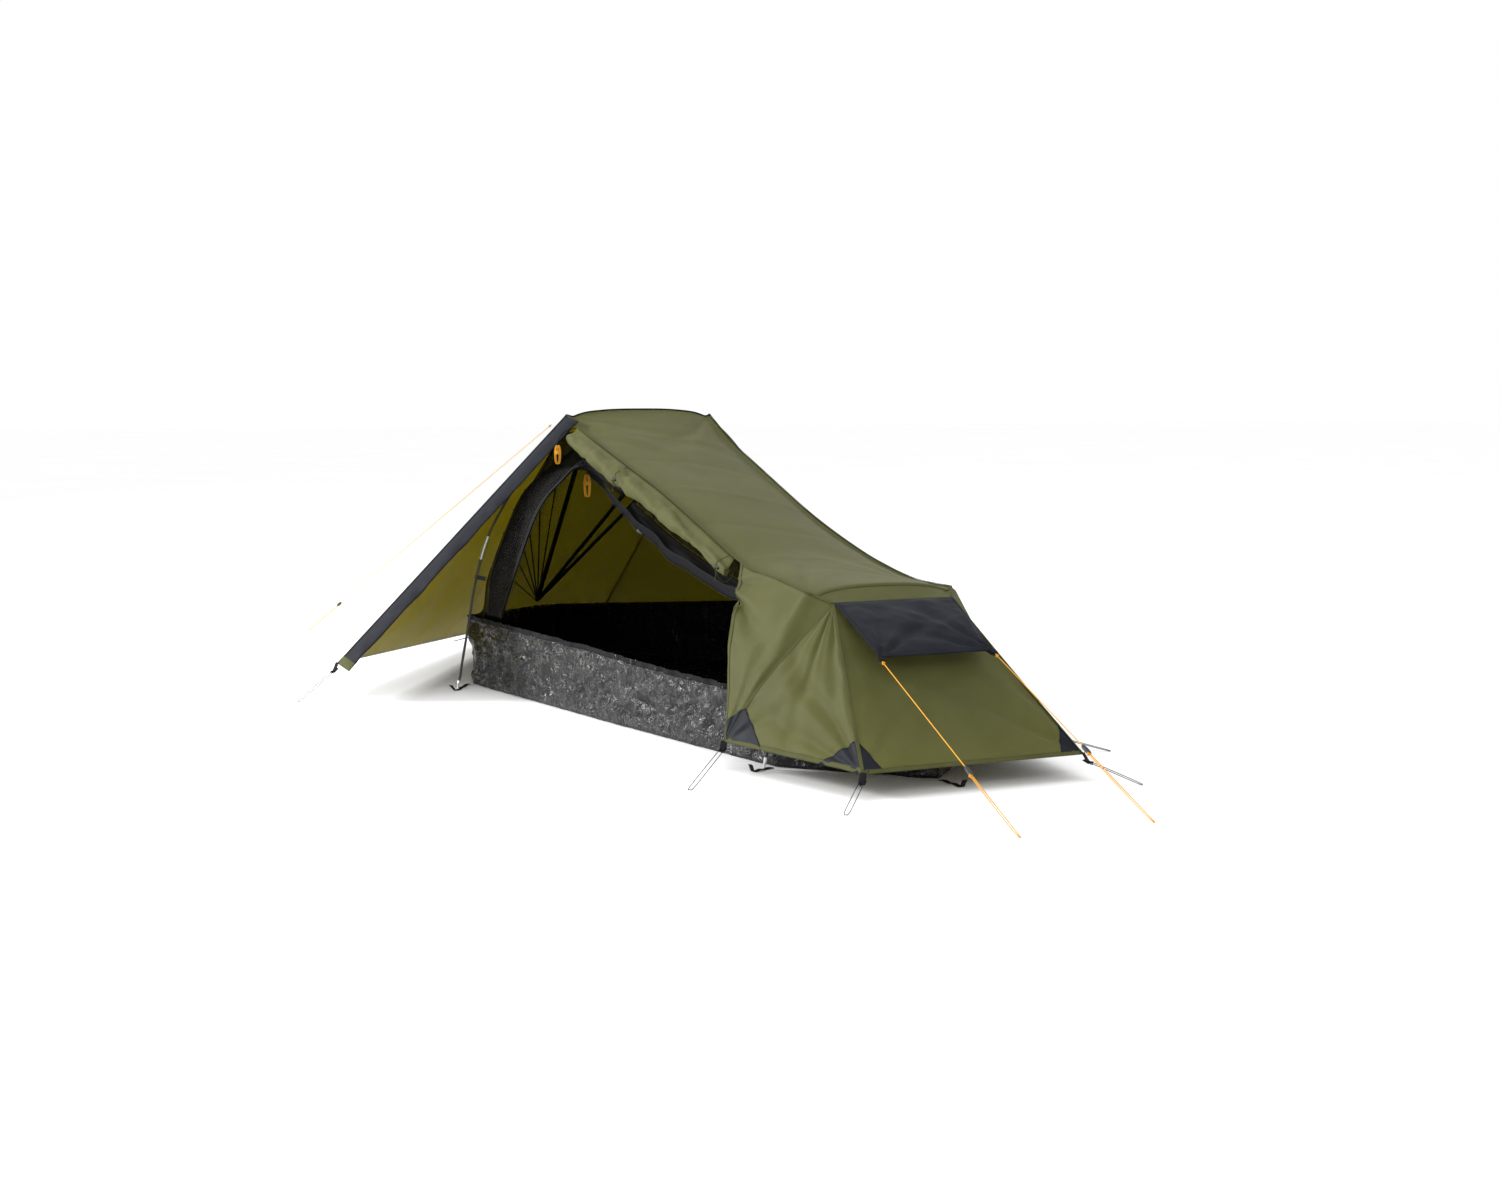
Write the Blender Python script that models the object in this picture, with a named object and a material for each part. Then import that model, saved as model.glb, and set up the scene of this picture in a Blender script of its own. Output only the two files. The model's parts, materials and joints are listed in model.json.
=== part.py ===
"""One-person frame tent: two bent hoop poles, an outer fly of sewn panels, and a hung inner tent.

Frame: +Z up, +X from the main hoop towards the foot end, -Y towards the door. The origin is on the
ground under the middle of the main hoop. "Near" is the door side (-Y) and "far" the other (+Y).
"""
import bmesh
import bpy
import math
from mathutils import Vector

# Driving dimensions, in metres.
HOOP_GAP = 1.69          # main hoop to foot hoop
POLE_R = 0.00425         # 8.5 mm pole
FERRULE_R = 0.0056
FERRULE_LONG = 0.080
FIT = 0.0004             # gap kept between solids that touch
STRAP = 0.0015           # webbing thickness
CLOTH = 0.0020           # fabric panels, as thin solids
SEAM = 0.004             # how far a panel stops short of its seam line
OVER_POLE = 0.012        # fly's middle surface outside the pole's centreline
CORD_R = 0.00125         # guyline radius
ELASTIC_R = 0.0010       # peg loop radius
# Hang of the roof's edges between the hoops, as (share of the way, drop). The near edge is pulled
# straight by the open door's hem; the far one hangs free.
NEAR_SAG = [(0.0, 0.0), (0.06, 0.014), (0.30, 0.021), (0.45, 0.023), (0.61, 0.039), (0.77, 0.055),
            (0.90, 0.022), (1.0, 0.0)]
FAR_SAG = [(0.0, 0.0), (0.12, 0.0380), (0.25, 0.0560), (0.37, 0.0710), (0.50, 0.0840), (0.63, 0.0850),
           (0.75, 0.0760), (0.88, 0.0500), (1.0, 0.0)]
TIP_TOP = 0.028          # where a pole section meets its metal tip

# Half outlines of the hoops' centrelines as (y, z), from mid-span down to the foot.
MAIN_HALF = [(0.0, 0.912), (0.13, 0.909), (0.225, 0.893), (0.305, 0.840), (0.393, 0.742),
             (0.478, 0.618), (0.543, 0.500), (0.585, 0.360), (0.615, 0.200), (0.652, 0.0045)]
FOOT_HALF = [(0.0, 0.462), (0.12, 0.457), (0.195, 0.436), (0.250, 0.375), (0.283, 0.280),
             (0.312, 0.140), (0.342, 0.0045)]

# Corners of the near side; the far side mirrors them in Y.
SHOULDER = Vector((0.0, -0.262, 0.905))
FLAP_TIP = Vector((0.0, -1.050, 0.112))
HEAD_HEM = Vector((-1.120, -0.250, 0.050))
HOOP_HEM = Vector((0.0, -0.690, 0.050))
SIDE_HEM = Vector((1.635, -0.430, 0.070))
FOOT_HEM = Vector((2.150, -0.300, 0.065))
FAR_FOOT_HEM = Vector((2.150, 0.331, 0.065))
FOOT_SHOULDER = Vector((HOOP_GAP, -0.215, 0.456))
VENT_CORNER = Vector((1.760, -0.178, 0.432))
HOOD_CORNER = Vector((1.985, -0.165, 0.318))
DOOR_FROM_X = 1.300      # where the open doorway ends along the roof's near edge
FLAP_WIDE = 0.085        # storm flap
ROLL_BELOW = Vector((0.0, -0.022, -0.038))     # rolled door's middle from the roof's near edge
TOGGLES = {"upper": Vector((0.553, -0.310, 0.711)), "lower": Vector((1.265, -0.284, 0.493))}

# The inner tent's near corners and edges.
INNER_SHOULDER = Vector((0.020, -0.205, 0.815))
INNER_FOOT_SHOULDER = Vector((1.520, -0.170, 0.420))
INNER_SAG = 0.085
INNER_LEG = [(0.0, -0.548, 0.245), (0.0, -0.530, 0.390), (0.0, -0.462, 0.560), (0.005, -0.402, 0.665),
             (0.010, -0.298, 0.750)]
ZIP_CURVE = [(0.115, -0.534, 0.243), (0.190, -0.495, 0.430), (0.225, -0.437, 0.601), (0.235, -0.365, 0.690),
             (0.250, -0.282, 0.745)]
DOOR_END_X = 1.480       # where the inner doorway ends
INNER_TRIM = 0.006       # how far a mesh wall stops short of its seams

# Floor outline (x, y, wall height), near side from head tip to foot tip.
FLOOR_NEAR = [(-0.900, 0.0, 0.172), (-0.110, -0.565, 0.235), (0.789, -0.443, 0.215),
              (1.200, -0.378, 0.200), (1.670, -0.300, 0.190), (2.000, 0.0, 0.150)]
WALL_LEAN = 0.008

# Ground ends of lines and loops.
FOOT_PEG = Vector((2.650, -0.180, 0.0))
REAR_PEG = Vector((-1.870, -0.730, 0.0))
FLAP_PEG = Vector((0.050, -1.190, 0.0))
SIDE_PEG = Vector((1.858, -0.624, 0.0))
CORNER_PEG = Vector((2.283, -0.418, 0.0))
HEAD_PEG = Vector((-1.260, -0.290, 0.0))

COLOURS = {  # name: (linear colour, roughness, metallic)
    "fly_cloth": ((0.080, 0.088, 0.030), 0.62, 0.0),
    "navy_cloth": ((0.010, 0.012, 0.020), 0.60, 0.0),
    "groundsheet": ((0.012, 0.013, 0.014), 0.35, 0.0),
    "mesh_cloth": ((0.014, 0.014, 0.015), 0.80, 0.0),
    "pole": ((0.010, 0.010, 0.011), 0.35, 0.0),
    "bright_metal": ((0.55, 0.56, 0.58), 0.30, 1.0),
    "black_plastic": ((0.012, 0.012, 0.013), 0.45, 0.0),
    "webbing": ((0.012, 0.012, 0.013), 0.85, 0.0),
    "guyline": ((0.75, 0.33, 0.035), 0.65, 0.0),
    "elastic": ((0.015, 0.015, 0.016), 0.75, 0.0),
}


def clear_scene():
    for old in list(bpy.data.objects):
        bpy.data.objects.remove(old, do_unlink=True)


def material(name):
    found = bpy.data.materials.get(name)
    if found:
        return found
    colour, roughness, metallic = COLOURS[name]
    made = bpy.data.materials.new(name)
    made.use_nodes = True
    shader = made.node_tree.nodes["Principled BSDF"]
    shader.inputs["Base Color"].default_value = (*colour, 1.0)
    shader.inputs["Roughness"].default_value = roughness
    shader.inputs["Metallic"].default_value = metallic
    return made


def add_mesh(name, points, faces, slot, smooth=True):
    mesh = bpy.data.meshes.new(name)
    mesh.from_pydata([tuple(p) for p in points], [], faces)
    mesh.materials.append(material(slot))
    shaped = bmesh.new()
    shaped.from_mesh(mesh)
    bmesh.ops.recalc_face_normals(shaped, faces=shaped.faces)
    shaped.to_mesh(mesh)
    shaped.free()
    if smooth:
        mesh.shade_smooth()
    placed = bpy.data.objects.new(name, mesh)
    bpy.context.scene.collection.objects.link(placed)
    return placed


def mirrored(point):
    """The same point on the other side of the tent."""
    return Vector((point.x, -point.y, point.z))


def mirror_all(points):
    return [mirrored(p) for p in points]


# Lines in space.

def spline(points, per_span=8):
    """A smooth curve through the points (Catmull-Rom)."""
    pts = [Vector(p) for p in points]
    if len(pts) < 3:
        return pts
    ends = [pts[0] * 2 - pts[1]] + pts + [pts[-1] * 2 - pts[-2]]
    curve = []
    for a, b, c, d in zip(ends, ends[1:], ends[2:], ends[3:]):
        for k in range(per_span):
            t = k / per_span
            curve.append(0.5 * (2 * b + (c - a) * t + (2 * a - 5 * b + 4 * c - d) * t * t
                                + (3 * b - a - 3 * c + d) * t ** 3))
    return curve + [pts[-1]]


def lengths(line):
    total = [0.0]
    for a, b in zip(line, line[1:]):
        total.append(total[-1] + (b - a).length)
    return total


def at(line, share):
    """The point at a share of the line's length."""
    total = lengths(line)
    want = share * total[-1]
    for i in range(1, len(line)):
        if total[i] >= want or i == len(line) - 1:
            step = total[i] - total[i - 1]
            return line[i - 1].lerp(line[i], (want - total[i - 1]) / step if step > 1e-12 else 0.0)
    return line[-1]


def between(line, start, end, count):
    """count points evenly spaced from one share of the line to another."""
    return [at(line, start + (end - start) * k / (count - 1)) for k in range(count)]


def hoop(x, half, outside=0.0):
    """A hoop's line from its near foot over the top to its far foot, offset outwards."""
    near = [Vector((x, -y, z)) for y, z in reversed(half)]
    far = [Vector((x, y, z)) for y, z in half[1:]]
    line = spline(near + far)
    if not outside:
        return line
    moved = []
    for i, p in enumerate(line):
        along = (line[min(i + 1, len(line) - 1)] - line[max(i - 1, 0)]).normalized()
        moved.append(p + outside * along.cross(Vector((1.0, 0.0, 0.0))) * -1.0)
    return moved


def part_of(line, from_point, to_point):
    """The stretch of a line between its points nearest to two places."""
    i = min(range(len(line)), key=lambda k: (line[k] - from_point).length)
    j = min(range(len(line)), key=lambda k: (line[k] - to_point).length)
    stretch = line[i:j + 1] if i < j else line[j:i + 1][::-1]
    return [from_point] + stretch[1:-1] + [to_point]


# Solids.

def sweep(name, line, radii, slot, bore=0.0, sides=12, side=Vector((1.0, 0.0, 0.0))):
    """A round bar along a line that stays square to side; radii has one value or one per point."""
    if not isinstance(radii, list):
        radii = [radii] * len(line)
    points, faces = [], []
    rings = [radii] + ([[bore] * len(line)] if bore else [])
    for ring in rings:
        for i, p in enumerate(line):
            along = (line[min(i + 1, len(line) - 1)] - line[max(i - 1, 0)]).normalized()
            u = (side - along * side.dot(along)).normalized()
            w = along.cross(u)
            for k in range(sides):
                a = 2 * math.pi * k / sides
                points.append(p + ring[i] * (math.cos(a) * u + math.sin(a) * w))
    long = len(line)
    for layer in range(len(rings)):
        start = layer * long * sides
        for i in range(long - 1):
            for k in range(sides):
                a, b = start + i * sides + k, start + i * sides + (k + 1) % sides
                faces.append((a, b, b + sides, a + sides))
    last = (long - 1) * sides
    if bore:
        inner = long * sides
        for k in range(sides):
            n = (k + 1) % sides
            faces.append((k, n, inner + n, inner + k))
            faces.append((last + k, last + n, inner + last + n, inner + last + k))
    else:
        faces.append(tuple(range(sides)))
        faces.append(tuple(last + k for k in range(sides)))
    bar = add_mesh(name, points, faces, slot)
    bar.data.set_sharp_from_angle(angle=math.radians(40))
    return bar


def cord(name, route, radius, slot, count=40):
    """A cord: a poly curve with a round bevel, read from a smooth line through its route."""
    line = spline(route)
    curve = bpy.data.curves.new(name, "CURVE")
    curve.dimensions = "3D"
    curve.bevel_depth = radius
    curve.bevel_resolution = 2
    curve.use_fill_caps = True
    run = curve.splines.new("POLY")
    run.points.add(count - 1)
    for slot_point, place in zip(run.points, between(line, 0.0, 1.0, count)):
        slot_point.co = (*place, 1.0)
    curve.materials.append(material(slot))
    placed = bpy.data.objects.new(name, curve)
    bpy.context.scene.collection.objects.link(placed)
    return placed


def coons(bottom, top, left, right):
    """A surface over four edges, as a function of (u, v) from 0 to 1."""
    corners = (bottom[0], bottom[-1], top[0], top[-1])

    def point(u, v):
        ruled = at(bottom, u).lerp(at(top, u), v) + at(left, v).lerp(at(right, v), u)
        flat = corners[0].lerp(corners[1], u).lerp(corners[2].lerp(corners[3], u), v)
        return ruled - flat

    return point


def panel(name, edges, slot, across=10, up=10, bulge=0.0, out=Vector((0.0, 0.0, 1.0)), trim=None):
    """A fabric panel as a thin solid over four edges, short of its seams, bowed by bulge along out."""
    bottom, top, left, right = edges
    point = coons(bottom, top, left, right)
    edge = trim or SEAM
    du = edge / max(lengths(bottom)[-1], lengths(top)[-1])
    dv = edge / max(lengths(left)[-1], lengths(right)[-1], (at(bottom, 0.5) - at(top, 0.5)).length)
    points, faces = [], []
    for j in range(up + 1):
        v = dv + (1 - 2 * dv) * j / up
        for i in range(across + 1):
            u = du + (1 - 2 * du) * i / across
            points.append(point(u, v) + out * (bulge * 16 * u * (1 - u) * v * (1 - v)))
    for j in range(up):
        for i in range(across):
            a = j * (across + 1) + i
            faces.append((a, a + 1, a + across + 2, a + across + 1))
    sheet = add_mesh(name, points, faces, slot)
    thick = sheet.modifiers.new("cloth", "SOLIDIFY")
    thick.thickness = CLOTH
    thick.offset = 0.0
    return sheet


def prism(name, outline, high, slot, origin, u, w):
    """An outline of (a, b) in the plane of u and w, extruded by high along u x w."""
    up = u.cross(w).normalized() * high
    base = [origin + u * a + w * b - up * 0.5 for a, b in outline]
    n = len(outline)
    faces = [tuple(range(n)), tuple(range(n, 2 * n))]
    faces += [(k, (k + 1) % n, n + (k + 1) % n, n + k) for k in range(n)]
    return add_mesh(name, base + [p + up for p in base], faces, slot, smooth=False)


def strap(name, route, width, slot, lift=0.0):
    """A flat webbing strap lying along a route, as wide as width, with STRAP thickness."""
    line = [Vector(p) for p in route]
    points = []
    for i, p in enumerate(line):
        along = line[min(i + 1, len(line) - 1)] - line[max(i - 1, 0)]
        side = Vector((-along.y, along.x, 0.0)).normalized() * width / 2
        normal = along.cross(side).normalized() * STRAP
        if normal.z < 0:
            normal = -normal
        base = p + Vector((0.0, 0.0, lift))
        points += [base - side, base + side, base + side + normal, base - side + normal]
    faces = [(0, 1, 2, 3)]
    for i in range(len(line) - 1):
        for k in range(4):
            a, b = 4 * i + k, 4 * i + (k + 1) % 4
            faces.append((a, b, b + 4, a + 4))
    end = 4 * (len(line) - 1)
    faces.append((end, end + 1, end + 2, end + 3))
    return add_mesh(name, points, faces, slot, smooth=False)


# The poles.

def pole(prefix, x, half, breaks):
    """A shock-corded hoop in three sections, with steel ferrules over the joints and steel tips."""
    line = hoop(x, half)
    total = lengths(line)[-1]
    tip = TIP_TOP / total
    shares = [tip] + breaks + [1 - tip]
    names = ("near_leg", "arch", "far_leg")
    counts = (20, 56, 20)
    gap = FIT / total
    for name, a, b, count in zip(names, shares, shares[1:], counts):
        sweep(f"{prefix}_pole_{name}", between(line, a + gap, b - gap, count), POLE_R, "pole", sides=10)
    half_long = FERRULE_LONG / 2 / total
    for name, share in zip(("near", "far"), breaks):
        sweep(f"{prefix}_ferrule_{name}", between(line, share - half_long, share + half_long, 8),
              FERRULE_R, "bright_metal", bore=POLE_R + 1.6 * FIT)
    for name, a, b in (("near", 0.0, tip - gap), ("far", 1.0, 1 - tip + gap)):
        tip_line = between(line, a, b, 5)
        sweep(f"{prefix}_tip_{name}", tip_line, [0.0028, 0.0030, POLE_R, 0.0050, 0.0050],
              "bright_metal", sides=14)
    return line


# Edges of the fly.

def fly_edges():
    """Seam lines over the hoops, and the named seam lines of each side."""
    main = hoop(0.0, MAIN_HALF, OVER_POLE)
    foot = hoop(HOOP_GAP, FOOT_HALF, OVER_POLE)
    edges = {
        "main_top": part_of(main, SHOULDER, mirrored(SHOULDER)),
        "foot_top": part_of(foot, FOOT_SHOULDER, mirrored(FOOT_SHOULDER)),
        "main_far_leg": part_of(main, mirrored(HOOP_HEM), mirrored(SHOULDER)),
    }
    for side, sag, hem, turn in (("near", NEAR_SAG, FOOT_HEM, list),
                                 ("far", FAR_SAG, mirrored(FAR_FOOT_HEM), mirror_all)):
        roof = spline([SHOULDER.lerp(FOOT_SHOULDER, s) - Vector((0.0, 0.0, drop)) for s, drop in sag], 6)
        door_end = next(p for p in roof if p.x >= DOOR_FROM_X)
        lines = {
            "roof": roof,
            "roof_to_door": [p for p in roof if p.x <= door_end.x],
            "roof_to_vent": [p for p in roof if p.x >= door_end.x] + [VENT_CORNER],
            "corner_seam": spline([SIDE_HEM, (1.690, -0.338, 0.235), VENT_CORNER]),
            "foot_seam": spline([hem, (1.975, -0.250, 0.240), VENT_CORNER]),
            "door_edge": spline([SIDE_HEM, (1.490, -0.350, 0.270), door_end]),
            "hem": [SIDE_HEM, hem],
        }
        edges[side] = {name: turn(line) for name, line in lines.items()}
    return edges


def fly(e):
    near, far = e["near"], e["far"]
    panel("fly_roof", (near["roof"], far["roof"], e["main_top"], e["foot_top"]), "fly_cloth", 16, 8)
    far_hem = spline([mirrored(HOOP_HEM), (0.80, 0.550, 0.062), mirrored(SIDE_HEM)])
    panel("fly_far_side", (far_hem, far["roof_to_door"], e["main_far_leg"], far["door_edge"]),
          "fly_cloth", 12, 8)
    panel("fly_head_end", ([HEAD_HEM, mirrored(HEAD_HEM)], e["main_top"],
                           [HEAD_HEM, SHOULDER], [mirrored(HEAD_HEM), mirrored(SHOULDER)]),
          "fly_cloth", 8, 8)
    panel("fly_head_far", ([mirrored(HEAD_HEM), mirrored(HOOP_HEM)], [mirrored(SHOULDER)] * 2,
                           [mirrored(HEAD_HEM), mirrored(SHOULDER)], e["main_far_leg"]),
          "fly_cloth", 8, 8)
    panel("fly_vestibule", ([HEAD_HEM, FLAP_TIP], [SHOULDER, SHOULDER], [HEAD_HEM, SHOULDER],
                            [FLAP_TIP, SHOULDER]), "fly_cloth", 8, 10)
    for side in ("near", "far"):
        lines = e[side]
        low, high = lines["hem"][0], lines["corner_seam"][-1]
        panel(f"fly_{side}_foot_side", ([low, low], lines["roof_to_vent"], lines["door_edge"],
                                        lines["corner_seam"]), "fly_cloth", 11, 8)
        panel(f"fly_{side}_corner", (lines["hem"], [high, high], lines["corner_seam"], lines["foot_seam"]),
              "fly_cloth", 6, 8)
    vent_line = [VENT_CORNER, mirrored(VENT_CORNER)]
    panel("fly_foot_end", ([FOOT_HEM, FAR_FOOT_HEM], vent_line, near["foot_seam"], far["foot_seam"]),
          "fly_cloth", 8, 8)
    band = [VENT_CORNER, FOOT_SHOULDER]
    panel("fly_vent_band", (vent_line, e["foot_top"], band, mirror_all(band)), "fly_cloth", 8, 3)


def flap_direction():
    """Across the storm flap: square to its long edge, in the plane of the closed door."""
    down = (FLAP_TIP - SHOULDER).normalized()
    to_hem = SIDE_HEM - FLAP_TIP
    return (to_hem - down * to_hem.dot(down)).normalized()


def door_parts(e):
    """The storm flap beside the door zip, and the rolled-up door under the roof's near edge."""
    across = flap_direction() * FLAP_WIDE
    start = SHOULDER + (FLAP_TIP - SHOULDER) * 0.02
    panel("storm_flap", ([FLAP_TIP, FLAP_TIP + across], [start, start + across],
                         [FLAP_TIP, start], [FLAP_TIP + across, start + across]), "navy_cloth", 3, 16)
    run = [p + ROLL_BELOW for p in e["near"]["roof"] if 0.10 < p.x < DOOR_FROM_X - 0.03]
    many = len(run)
    radii = [0.013 + 0.015 * math.sin(math.pi * min(1.0, 0.15 + k / many)) for k in range(many)]
    sweep("rolled_door", run, radii, "fly_cloth", sides=12, side=Vector((0.0, 1.0, 0.0)))


def vent():
    """The guyed-out hood over the foot vent."""
    lift = Vector((0.006, 0.0, 0.008))
    top = [VENT_CORNER + lift, mirrored(VENT_CORNER) + lift]
    low = [HOOD_CORNER, mirrored(HOOD_CORNER)]
    panel("vent_hood", (low, top, [low[0], top[0]], [low[1], top[1]]), "navy_cloth", 8, 6,
          bulge=0.012)


# The inner tent.

def floor_outline():
    near = [Vector((x, y, h)) for x, y, h in FLOOR_NEAR]
    return near + [Vector((p.x, -p.y, p.z)) for p in reversed(near[1:-1])]


def bathtub():
    """The floor with its turned-up walls, one sheet: a tray with thin walls."""
    corners = floor_outline()
    loop = []
    for a, b in zip(corners, corners[1:] + corners[:1]):
        steps = 4
        loop += [a.lerp(b, k / steps) for k in range(steps)]
    n = len(loop)
    rows = ([], [], [], [])
    for i, p in enumerate(loop):
        before, after = loop[i - 1], loop[(i + 1) % n]
        along = Vector((after.x - before.x, after.y - before.y, 0.0)).normalized()
        out = Vector((along.y, -along.x, 0.0))
        flat = Vector((p.x, p.y, 0.0))
        rows[0].append(flat)
        rows[1].append(flat + out * WALL_LEAN + Vector((0.0, 0.0, p.z)))
        rows[2].append(flat + out * (WALL_LEAN - CLOTH) + Vector((0.0, 0.0, p.z)))
        rows[3].append(flat - out * CLOTH + Vector((0.0, 0.0, CLOTH)))
    points = [p for row in rows for p in row]
    faces = [tuple(range(n)), tuple(range(3 * n, 4 * n))]
    for r in range(3):
        for i in range(n):
            j = (i + 1) % n
            faces.append((r * n + i, r * n + j, (r + 1) * n + j, (r + 1) * n + i))
    add_mesh("bathtub_floor", points, faces, "groundsheet", smooth=False)


def wall_top(x, side=-1.0):
    """The point just above the bathtub wall's rim at x, on the side given by its sign in Y."""
    for a, b in zip(FLOOR_NEAR, FLOOR_NEAR[1:]):
        if a[0] <= x <= b[0]:
            t = (x - a[0]) / (b[0] - a[0])
            y, h = a[1] + (b[1] - a[1]) * t, a[2] + (b[2] - a[2]) * t
            return Vector((x, side * (abs(y) + 0.004), h + 0.004))
    raise ValueError(x)


def rim(from_x, to_x, side=-1.0, count=12):
    return [wall_top(from_x + (to_x - from_x) * k / (count - 1), side) for k in range(count)]


def inner_tent():
    """Mesh and cloth walls hung under the hoops; the doorway on the near side stays open."""
    near_top = []
    for k in range(17):
        s = k / 16
        p = INNER_SHOULDER.lerp(INNER_FOOT_SHOULDER, s)
        near_top.append(p - Vector((0.0, 0.0, INNER_SAG * 4 * s * (1 - s))))
    far_top = mirror_all(near_top)
    top_main = spline([INNER_SHOULDER, (0.02, 0.0, 0.835), mirrored(INNER_SHOULDER)])
    top_foot = spline([INNER_FOOT_SHOULDER, (1.52, 0.0, 0.428), mirrored(INNER_FOOT_SHOULDER)])
    panel("inner_roof", (near_top, far_top, top_main, top_foot), "mesh_cloth", 14, 6, trim=INNER_TRIM)
    near_leg = spline([*INNER_LEG, INNER_SHOULDER])
    far_leg = mirror_all(near_leg)
    far_rim = [far_leg[0]] + rim(0.05, DOOR_END_X, 1.0)
    foot_near = [wall_top(DOOR_END_X), INNER_FOOT_SHOULDER]
    foot_far = mirror_all(foot_near)
    panel("inner_far_mesh", (far_rim, far_top, far_leg, foot_far), "mesh_cloth", 14, 8, trim=INNER_TRIM)
    front_top = near_top[:5]
    zip_line = spline(ZIP_CURVE + [front_top[-1]])
    low = [near_leg[0], zip_line[0]]
    panel("inner_front_mesh", (low, front_top, near_leg, zip_line), "mesh_cloth", 8, 14, trim=INNER_TRIM)
    arch = near_leg + top_main[1:-1] + far_leg[::-1]
    near_head = rim(-0.89, -0.11, -1.0)[::-1]
    head_rim = near_head + [Vector((-0.9, 0.0, 0.177))] + mirror_all(near_head)[::-1]
    head_rim = [p + Vector((0.010, 0.0, 0.0)) for p in head_rim]
    pull = Vector((-0.012, 0.0, 0.0))
    arch = [p + pull for p in arch]
    panel("inner_head_mesh", (head_rim, arch, [head_rim[0], arch[0]], [head_rim[-1], arch[-1]]),
          "mesh_cloth", 22, 8, trim=INNER_TRIM)
    near_foot = rim(DOOR_END_X + 0.02, 1.99)
    foot_rim = near_foot + [Vector((2.0, 0.0, 0.155))] + mirror_all(near_foot)[::-1]
    foot_rim = [p + Vector((-0.008, 0.0, 0.0)) for p in foot_rim]
    foot_arch = [p + Vector((0.012, 0.0, 0.0)) for p in foot_near + top_foot[1:-1] + foot_far[::-1]]
    panel("inner_foot_mesh", (foot_rim, foot_arch, [foot_rim[0], foot_arch[0]],
                              [foot_rim[-1], foot_arch[-1]]), "mesh_cloth", 18, 6, trim=INNER_TRIM)
    gathered = [p + Vector((0.0, -0.022, -0.030)) for p in near_top if 0.42 < p.x < 1.46]
    many = len(gathered)
    radii = [0.010 + 0.010 * math.sin(math.pi * min(1.0, 0.1 + k / many)) for k in range(many)]
    sweep("inner_door_gathered", gathered, radii, "mesh_cloth", sides=10, side=Vector((0.0, 1.0, 0.0)))
    return near_top


# Small hardware.

def ring_clip(name, centre, along, towards):
    """A snap clip: an open ring round the pole with a tab that the inner tent is sewn to."""
    inner, outer, half_tab = POLE_R + FIT, 0.0080, 0.0085
    arc = [math.radians(60 + 10 * k) for k in range(25)]
    outline = [(inner * math.cos(a), inner * math.sin(a)) for a in reversed(arc)]
    start = [(outer * math.cos(a), outer * math.sin(a)) for a in arc]
    tab_at = math.pi
    before = [p for p, a in zip(start, arc) if a < tab_at - math.radians(45)]
    after = [p for p, a in zip(start, arc) if a > tab_at + math.radians(45)]
    tab = [(-0.0075, half_tab), (-0.0300, half_tab), (-0.0300, -half_tab), (-0.0075, -half_tab)]
    prism(name, before + tab + after + outline, 0.014, "black_plastic", centre,
          -towards, along.cross(-towards))


def slider(name, centre, along, face):
    """A zip slider: a tapered body with its pull tab lying along the zip."""
    across = along.cross(face).normalized()
    body = [(-0.006, -0.0030), (0.004, -0.0048), (0.006, -0.0036), (0.006, -0.0014),
            (0.028, -0.0020), (0.028, 0.0020), (0.006, 0.0014), (0.006, 0.0036), (0.004, 0.0048),
            (-0.006, 0.0030)]
    prism(name, body, 0.0042, "bright_metal", centre, along, across)


def tensioner(name, line, share, long=0.034):
    """A line runner with the guyline through its middle."""
    total = lengths(line)[-1]
    half = long / 2 / total
    run = between(line, share - half, share + half, 7)
    sweep(name, run, [0.0038, 0.0052, 0.0058, 0.0060, 0.0058, 0.0052, 0.0038], "black_plastic",
          bore=CORD_R + 0.0006, side=Vector((0.0, 0.0, 1.0)))


def toggle(name, centre, along):
    """A barrel toggle with a waist for its loop."""
    half = 0.0120
    line = [centre + along * (half * t) for t in (-1.0, -0.9, -0.35, 0.0, 0.35, 0.9, 1.0)]
    sweep(name, line, [0.0030, 0.0042, 0.0042, 0.0030, 0.0042, 0.0042, 0.0030], "black_plastic",
          side=Vector((0.0, 0.0, 1.0)))


def loop_route(start, end, wide):
    """Out along one strand, round the peg's place and back along the other."""
    along = (end - start).normalized()
    side = along.cross(Vector((0.0, 0.0, 1.0))).normalized() * wide / 2
    bend = end - along * wide
    return [start - side, start.lerp(bend, 0.5) - side * 1.1, bend - side, end, bend + side,
            start.lerp(bend, 0.5) + side * 1.1, start + side]


def guyline(name, start, end):
    """A taut line whose ground end clears the ground by its own radius."""
    low = Vector((end.x, end.y, CORD_R + 0.0005))
    cord(name, [start, low], CORD_R, "guyline", count=12)
    return [start, low]


def hank(name, centre, tall, wide, thick):
    """A wound hank of spare guyline: a round-ended bundle."""
    r = wide / 2
    outline = []
    for sign, turn in ((1.0, 0.0), (-1.0, math.pi)):
        for k in range(9):
            a = turn + math.pi * k / 8
            outline.append((r * math.cos(a), sign * (tall / 2 - r) + r * math.sin(a)))
    prism(name, outline, thick, "guyline", centre, Vector((0.45, 0.89, 0.0)).normalized(),
          Vector((0.0, 0.0, 1.0)))


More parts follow.
